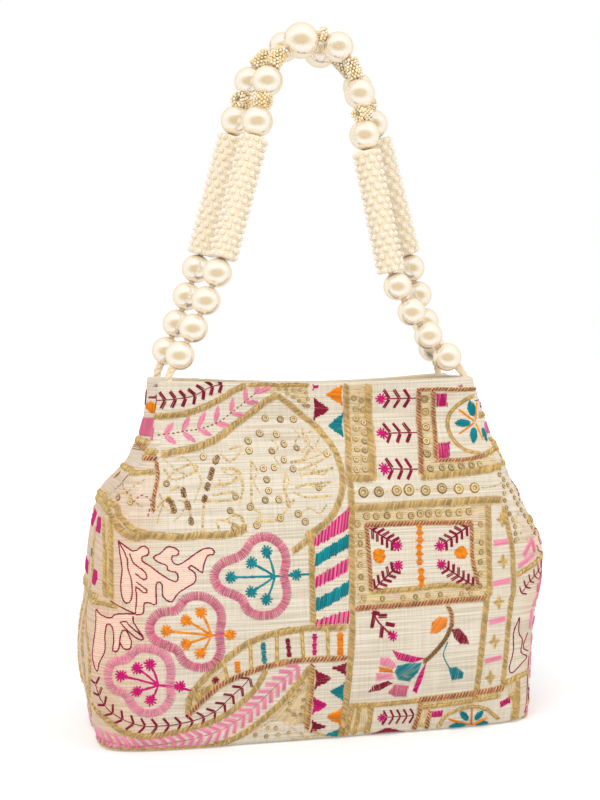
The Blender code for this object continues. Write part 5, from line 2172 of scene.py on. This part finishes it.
@dataclass
class PearlHandle:
    """One handle: pearls, sleeves woven from seed beads, gilt spacers and the cord's sewn ends.

    Attributes:
        side: "front" or "back".
        bore: Radius of the hole through a bead.
        seeds_round: Small pearls round a sleeve.
        seed_rows: Rows of small pearls along a sleeve.
        seed_radius: Radius of a small pearl.
        grain_radius: Radius of a gilt grain.
        grain_pitch: Distance from one ring of grains to the next.
        weave_depth: How deep the weave of a sleeve is.
        weave_turn: How fast the weave turns along a sleeve, in radians a metre.
        strand_radius: Radius of each strand of a cord's sewn end.
        strand_reach: Distance of the strands from the cord's middle.
        strand_turns: How often they go round it.
        tail: How far they run down into the hem from the line that the handle swings on.
        tip: Distance of their upper ends from the lowest pearl's middle.
        anchor_radius: Radius of the solid that they come out of.
    """

    side: str
    bore: float = 0.0017
    seeds_round: int = 8
    seed_rows: int = 18
    seed_radius: float = 0.0016
    grain_radius: float = 0.00088
    grain_pitch: float = 0.00155
    weave_depth: float = 0.0005
    weave_turn: float = 900.0
    strand_radius: float = 0.00105
    strand_reach: float = 0.0010
    strand_turns: float = 1.2
    tail: float = 0.0055
    tip: float = 0.0065
    anchor_radius: float = 0.0015

    def strung(self, kind: str) -> list[Strung]:
        """Reads where the beads of one kind are.

        Args:
            kind: The middle part of their nodes' names.

        Returns:
            Their places, in the order of their nodes.
        """
        found = []
        for name, node in frame["nodes"].items():
            if not name.startswith(f"{self.side}_{kind}_"):
                continue
            points = np.array([v.co for v in node.data.vertices])
            centre = (points.min(axis=0) + points.max(axis=0)) / 2
            points = points - points.mean(axis=0)
            _, _, axes = np.linalg.svd(points, full_matrices=False)
            # The third spacer is wider than it is long, so its cord runs along its shortest way
            axis = axes[2] if "spacer_3" in name else axes[0]
            reach = points @ axis
            out = np.linalg.norm(np.cross(points, axis), axis=1)
            found.append(Strung(name, centre, axis, float(np.ptp(reach)) / 2, float(out.max())))
        return found

    def body(self) -> str:
        """The moving body that the beads ride on."""
        return f"{self.side}_handle"

    def dress(
        self, shape: Shape, name: str, finishes: list[bpy.types.Material], node: str
    ) -> None:
        """Places a bead's shape, which replaces its solid.

        Args:
            shape: The shape.
            name: Its name.
            finishes: Its materials.
            node: The bead's node.
        """
        obj = shape.placed(name, finishes)
        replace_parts(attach(obj, self.body()), node)

    def pearls(self, finish: bpy.types.Material) -> int:
        """Builds the large pearls: each a ball with a hole along the cord, whose edges are rounded over.

        Args:
            finish: The pearls' material.

        Returns:
            How many there are.
        """
        kinds = ("lower_pearl", "upper_pearl", "crown_pearl")
        beads = [bead for kind in kinds for bead in self.strung(kind)]
        for bead in beads:
            low, high = (np.array(corner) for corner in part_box(bead.node))
            radius = float((high - low).max()) / 2
            edge = math.acos(self.bore * 1.25 / radius)
            angles = np.linspace(edge, -edge, 25)
            ball = np.stack([np.cos(angles), np.sin(angles)], axis=1) * radius
            end = ball[0, 1] - 0.0003
            profile = np.concatenate([ball, [(self.bore, -end), (self.bore, end)]])
            ways = sorted((other.centre - bead.centre for other in beads), key=np.linalg.norm)
            shape = turned(profile, 48, bead.centre, ways[1])
            self.dress(shape, bead.node.replace("pearl", "glossy_pearl"), [finish], bead.node)
        return len(beads)

    def sleeves(self, weave: bpy.types.Material, pearl: bpy.types.Material) -> int:
        """Builds the woven sleeves: a tube of tiny beads, whose surface rises and falls like a weave, with
        small pearls standing on it in staggered rings.

        Args:
            weave: Material of the tube.
            pearl: Material of the small pearls.

        Returns:
            How many small pearls there are.
        """
        count = 0
        for bead in self.strung("seed_sleeve"):
            core = bead.radius - 2.1 * self.seed_radius + 0.0012
            sides, rows = 72, 84
            turn = full_turn(sides)
            along = np.linspace(-bead.half, bead.half, rows)
            strand, climb = 1.5 * self.seeds_round * turn, self.weave_turn * along[:, None]
            weave_wave = np.abs(np.sin(strand + climb)) * np.abs(np.sin(strand - climb))
            radius = core + self.weave_depth * weave_wave
            out = spokes(turn, *square_to(bead.axis))
            wall = bead.centre + radius[..., None] * out[None] + along[:, None, None] * bead.axis
            bores = [bead.centre + self.bore * out + end * bead.axis for end in (bead.half, -bead.half)]
            points = np.concatenate([wall.reshape(-1, 3), *bores])
            tube = Shape(points, [grid_faces(rows + 2, sides, closed=True)])
            end = bead.half - self.seed_radius
            heights = np.linspace(-end, end, self.seed_rows)
            places = self._rings(bead, heights, bead.radius - self.seed_radius, self.seeds_round)
            small = self._grains(places, np.full(len(places), self.seed_radius), 10, 6)
            small.slots = [np.ones(len(f)) for f in small.faces]
            tube.slots = [np.zeros(len(tube.faces[0]))]
            name = bead.node.replace("seed_sleeve", "woven_sleeve")
            self.dress(joined([tube, small]), name, [weave, pearl], bead.node)
            count += len(places)
        return count

    def spacers(self, gilt: bpy.types.Material, cream: bpy.types.Material) -> int:
        """Builds the spacers: rings of tiny grains stacked along the cord, gilt and cream mixed.

        Args:
            gilt: Material of the gilt grains.
            cream: Material of the cream grains.

        Returns:
            How many grains there are.
        """
        random = np.random.default_rng(11)
        count = 0
        for bead in self.strung("gilt_spacer"):
            rows = max(1, round(2 * (bead.half + 0.0002) / self.grain_pitch))
            heights = (np.arange(rows) - (rows - 1) / 2) * self.grain_pitch
            outer = self._rings(bead, heights, bead.radius - self.grain_radius, 12)
            places = np.concatenate([outer, self._rings(bead, heights, bead.radius * 0.5, 7)])
            places = places + random.normal(0, 0.0001, places.shape)
            radii = self.grain_radius * random.uniform(0.85, 1.1, len(places))
            shape = self._grains(places, radii, 7, 5)
            kinds = (random.uniform(size=len(places)) < 0.55).astype(int)
            shape.slots = [np.repeat(kinds, len(f) // len(places)) for f in shape.faces]
            name = bead.node.replace("gilt_spacer", "grain_spacer")
            self.dress(shape, name, [gilt, cream], bead.node)
            count += len(places)
        return count

    def sewn_ends(self, finish: bpy.types.Material) -> None:
        """Builds the cord's two ends: three strands twisted about each other, from inside the hem to the
        lowest pearl, which bend at the line that the handle swings on.

        Args:
            finish: The cord's material.
        """
        joint = next(j for j in frame["joints"] if j["child"] == self.body())
        pivot = np.array(joint["pos_m"])
        lowest = [b for b in self.strung("lower_pearl") if b.centre[2] < pivot[2] + 0.02]
        for label, bead in zip(("left", "right"), sorted(lowest, key=lambda b: float(b.centre[0]))):
            low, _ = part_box(f"{self.side}_{label}_anchor")
            foot = np.array([low[0] + self.anchor_radius, low[1] + self.anchor_radius, pivot[2]])
            run = bead.centre - foot
            run /= np.linalg.norm(run)
            top = bead.centre - run * self.tip
            bottom = foot - (0, 0, self.tail)
            path = smooth_path(np.stack([bottom, foot, top]), 0.0004)
            twist = np.linspace(0, 2 * np.pi * self.strand_turns, len(path))
            strands = []
            for phase in full_turn(3):
                out = spokes(twist + phase, *square_to(run))
                strands.append(swept(path + out * self.strand_reach, self.strand_radius, 10))
            obj = joined(strands).placed(f"{self.side}_{label}_sewn_end", [finish])
            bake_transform(obj)

    def _rings(self, bead: Strung, heights: Array, reach: float, number: int) -> Array:
        """Finds places in rings round a bead's cord, each ring half a step on from the one before.

        Args:
            bead: The bead.
            heights: Where the rings are along the cord.
            reach: Their radius.
            number: Places in a ring.

        Returns:
            The places, one row each.
        """
        ways = square_to(bead.axis)
        return np.concatenate(
            [
                bead.centre + spokes(full_turn(number, (row % 2) / 2), *ways) * reach + height * bead.axis
                for row, height in enumerate(heights)
            ]
        )

    def _grains(self, places: Array, radii: Array, sides: int, bands: int) -> Shape:
        """Makes small balls: circles of latitude with a pole at both ends.

        Args:
            places: Their middles, one row each.
            radii: Their radii.
            sides: Points on a circle.
            bands: Bands between the poles.

        Returns:
            All of them as one shape.
        """
        tilt = np.pi * np.arange(1, bands) / bands
        turn = full_turn(sides)
        ways = (
            np.sin(tilt)[:, None] * np.cos(turn),
            np.sin(tilt)[:, None] * np.sin(turn),
            -np.cos(tilt)[:, None] + 0 * turn,
        )
        globe = np.concatenate([np.stack(ways, axis=-1).reshape(-1, 3), [(0, 0, -1), (0, 0, 1)]])
        points = places[:, None] + globe[None] * radii[:, None, None]
        base = (np.arange(len(places)) * len(globe))[:, None, None]
        quads, tips = grid_faces(bands - 1, sides), end_faces(len(globe) - 2, sides)
        return Shape(points.reshape(-1, 3), [(base + quads).reshape(-1, 4), (base + tips).reshape(-1, 3)])


@dataclass(frozen=True)
class Studio:
    """Floor, lamps, world and camera.

    Attributes:
        swing: How far the camera stands to the bag's left, in degrees.
        pitch: How far it looks down, in degrees.
        distance: Distance from the bag's middle plane.
        height: Its height over the floor.
        aside: Where its aim crosses the middle plane, to the right.
        focal: Its focal length in millimetres on a 36 mm frame.
        patch_width: Half width of the dim patch of the room behind the camera, as a sine.
        patch_height: Its half height, as a sine.
        glow_near: How much the floor glows to the camera by the bag.
        glow_far: How much it glows far from the bag.
        room: Brightness of the room that lights the bag.
        room_white: Linear colour of the room that glossy things mirror.
        patch_tan: Linear colour of the dim patch.
    """

    swing: float = 14.2
    pitch: float = 3.88
    distance: float = 0.766
    height: float = 0.227
    aside: float = -0.0066
    focal: float = 63.945
    patch_width: float = 0.92
    patch_height: float = 0.62
    glow_near: float = 0.22
    glow_far: float = 0.6
    room: float = 0.70
    room_white: Colour = (1.0, 0.99, 0.97)
    patch_tan: Colour = (0.56, 0.35, 0.03)

    def camera(self) -> bpy.types.Object:
        """Makes the camera, and makes it the scene's.

        Returns:
            The camera.
        """
        data = bpy.data.cameras.new("photo_view")
        data.lens = self.focal
        data.sensor_width = 36.0
        data.clip_start = 0.01
        obj = bpy.data.objects.new("photo_view", data)
        swing = math.radians(self.swing)
        obj.location = (
            self.aside - self.distance * math.sin(swing),
            -self.distance * math.cos(swing),
            self.height,
        )
        obj.rotation_euler = (math.pi / 2 - math.radians(self.pitch), 0, -swing)
        bpy.context.scene.collection.objects.link(obj)
        bpy.context.scene.camera = obj
        return obj

    def floor(self) -> None:
        """Makes a wide pale floor that keeps the bag's shadow, and goes over into the white behind it by
        glowing a little to the camera alone."""
        size = 4.0
        corners = np.array([(-size, -size, 0), (size, -size, 0), (size, size, 0), (-size, size, 0)])
        shape = Shape(corners - (0, 0, 0.0002), [np.array([[0, 1, 2, 3]])])
        inputs = {
            "Base Color": (0.86, 0.86, 0.86, 1),
            "Roughness": 1.0,
            "Specular IOR Level": 0.0,
            "Emission Color": (1, 1, 1, 1),
        }
        made, tree, shader = principled("pale_floor", inputs)
        place = added(tree, "TexCoord", "Object")
        away = added(tree, "VectorMath", "Value", {0: place}, operation="LENGTH")
        fade = {"From Min": 0.1, "From Max": 0.6, "To Min": self.glow_near, "To Max": self.glow_far}
        glow = added(tree, "MapRange", "Result", {**fade, "Value": away})
        rays = added(tree, "LightPath", "Is Camera Ray")
        seen = added(tree, "Math", "Value", {0: glow, 1: rays}, operation="MULTIPLY")
        feed(tree, shader, {"Emission Strength": seen})
        obj = shape.placed("floor", [made])
        obj.visible_glossy = False

    def lamp(self, name: str, place: tuple[float, float, float], size: float, power: float) -> None:
        """Makes a square lamp that faces the middle of the bag.

        Args:
            name: Its name.
            place: Where it is.
            size: Length of its side.
            power: Its power in watts.
        """
        data = bpy.data.lights.new(name, "AREA")
        data.size = size
        data.energy = power
        obj = bpy.data.objects.new(name, data)
        obj.location = place
        obj.visible_glossy = False
        aim = Vector((0, 0, 0.15)) - Vector(place)
        obj.rotation_euler = aim.to_track_quat("-Z", "Y").to_euler()
        bpy.context.scene.collection.objects.link(obj)

    def world(self) -> None:
        """Makes the room's light: white behind the bag, soft grey on it, and for glossy things to mirror
        a white room with a dim tan patch behind the camera. The patch is an ellipse in the directions'
        sines across and up."""
        room = bpy.data.worlds.new("studio_room")
        bpy.context.scene.world = room
        room.use_nodes = True
        tree = room.node_tree
        place = added(tree, "TexCoord", "Generated")
        height = added(tree, "SeparateXYZ", "Z", {"Vector": place})
        sine, cosine = math.sin(math.radians(self.swing)), math.cos(math.radians(self.swing))
        across, towards = (
            added(tree, "VectorMath", "Value", {0: place, 1: way}, operation="DOT_PRODUCT")
            for way in ((cosine, -sine, 0), (-sine, -cosine, 0))
        )
        squares = []
        for source, reach in ((across, self.patch_width), (height, self.patch_height)):
            share = added(tree, "Math", "Value", {0: source, 1: reach}, operation="DIVIDE")
            squares.append(added(tree, "Math", "Value", {0: share, 1: 2.0}, operation="POWER"))
        ring = added(tree, "Math", "Value", dict(enumerate(squares)))
        fade = {"From Min": 1.5, "From Max": 0.3, "Value": ring}
        inside = added(tree, "MapRange", "Result", fade, interpolation_type="SMOOTHSTEP")
        before = added(tree, "Math", "Value", {0: towards, 1: 0.0}, operation="GREATER_THAN")
        both = added(tree, "Math", "Value", {0: inside, 1: before}, operation="MULTIPLY")
        glossy = mixed(tree, both, self.room_white, self.patch_tan)
        soft = mixed(tree, added(tree, "LightPath", "Is Glossy Ray"), (self.room,) * 3, glossy)
        seen = mixed(tree, added(tree, "LightPath", "Is Camera Ray"), soft, (1, 1, 1))
        feed(tree, tree.nodes["Background"], {"Strength": 1.0, "Color": seen})

    def light(self) -> None:
        """Sets up the world and two soft lamps."""
        self.world()
        self.lamp("key_lamp", (-0.9, -1.3, 1.5), 1.2, 19.0)
        self.lamp("fill_lamp", (1.4, -1.0, 0.9), 1.2, 8.0)


def main() -> None:
    """Builds and dresses the bag, then the studio round it."""
    logging.basicConfig(level=logging.INFO, format="%(message)s")
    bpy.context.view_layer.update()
    bpy.context.scene.view_settings.view_transform = "Standard"
    form = ClothForm()
    bag = ClothBag(form)
    cord = Finish("cream_cord", linear(236, 214, 182), 0.6, sheen=0.2, grain=0.0008).material()
    bag.shell(SlubFinish().material())
    bag.lining(Finish("cream_satin", linear(214, 192, 150), 0.45, sheen=0.2).material())
    bag.snap(Finish("gilt_snap", linear(196, 160, 92), 0.25, metallic=1.0, mottle=0.05).material())
    board = Finish("grey_board", linear(158, 154, 146), 0.9).material()
    for name, node in frame["nodes"].items():
        if name.endswith(("_cord", "_anchor", "_board")):
            node.data.materials.clear()
            node.data.materials.append(board if name == "base_board" else cord)
    pearl = PearlFinish("cream_pearl", linear(255, 250, 240), linear(244, 224, 190)).material()
    seed = PearlFinish("seed_pearl", linear(255, 247, 232), linear(244, 224, 192), 0.22, 0.3).material()
    weave = Finish("seed_weave", linear(250, 233, 206), 0.35, coat=0.3, mottle=0.12, grain=0.001).material()
    gilt = Finish("gilt_grain", linear(255, 224, 172), 0.3, coat=0.4, mottle=0.08).material()
    grain = Finish("cream_grain", linear(255, 242, 216), 0.3, coat=0.5, mottle=0.05).material()
    threads = [THREAD_FINISHES[thread].material() for thread in Thread]
    for side, flip, low, spare in ((Side.FRONT, 1.0, -1.06, 0.22), (Side.BACK, -1.0, -0.94, -0.22)):
        work = Needlework(form, side, flip)
        Patchwork(work).draw()
        work.repeat(205.0, 0.77, 1.0)
        work.kept(low, 1.0, spare)
        name = side.name.lower()
        for i, shape in enumerate(work.stitch_shapes()):
            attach(shape.placed(f"{name}_stitches_{i + 1}", threads), "root")
            LOG.info("%s stitches %d: %d", name, i + 1, len(shape.points) // STITCH_POINTS)
        rings = work.sequin_shape()
        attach(rings.placed(f"{name}_sequins", threads), "root")
        LOG.info("%s sequins: %d", name, sum(len(radii) for _, radii in work.sequins))
    for side in ("front", "back"):
        handle = PearlHandle(side)
        LOG.info("%s handle: %d pearls", side, handle.pearls(pearl))
        LOG.info("%s handle: %d small pearls", side, handle.sleeves(weave, seed))
        LOG.info("%s handle: %d grains", side, handle.spacers(gilt, grain))
        handle.sewn_ends(cord)
    studio = Studio()
    studio.floor()
    studio.light()
    studio.camera()


if __name__ == "__main__":
    main()
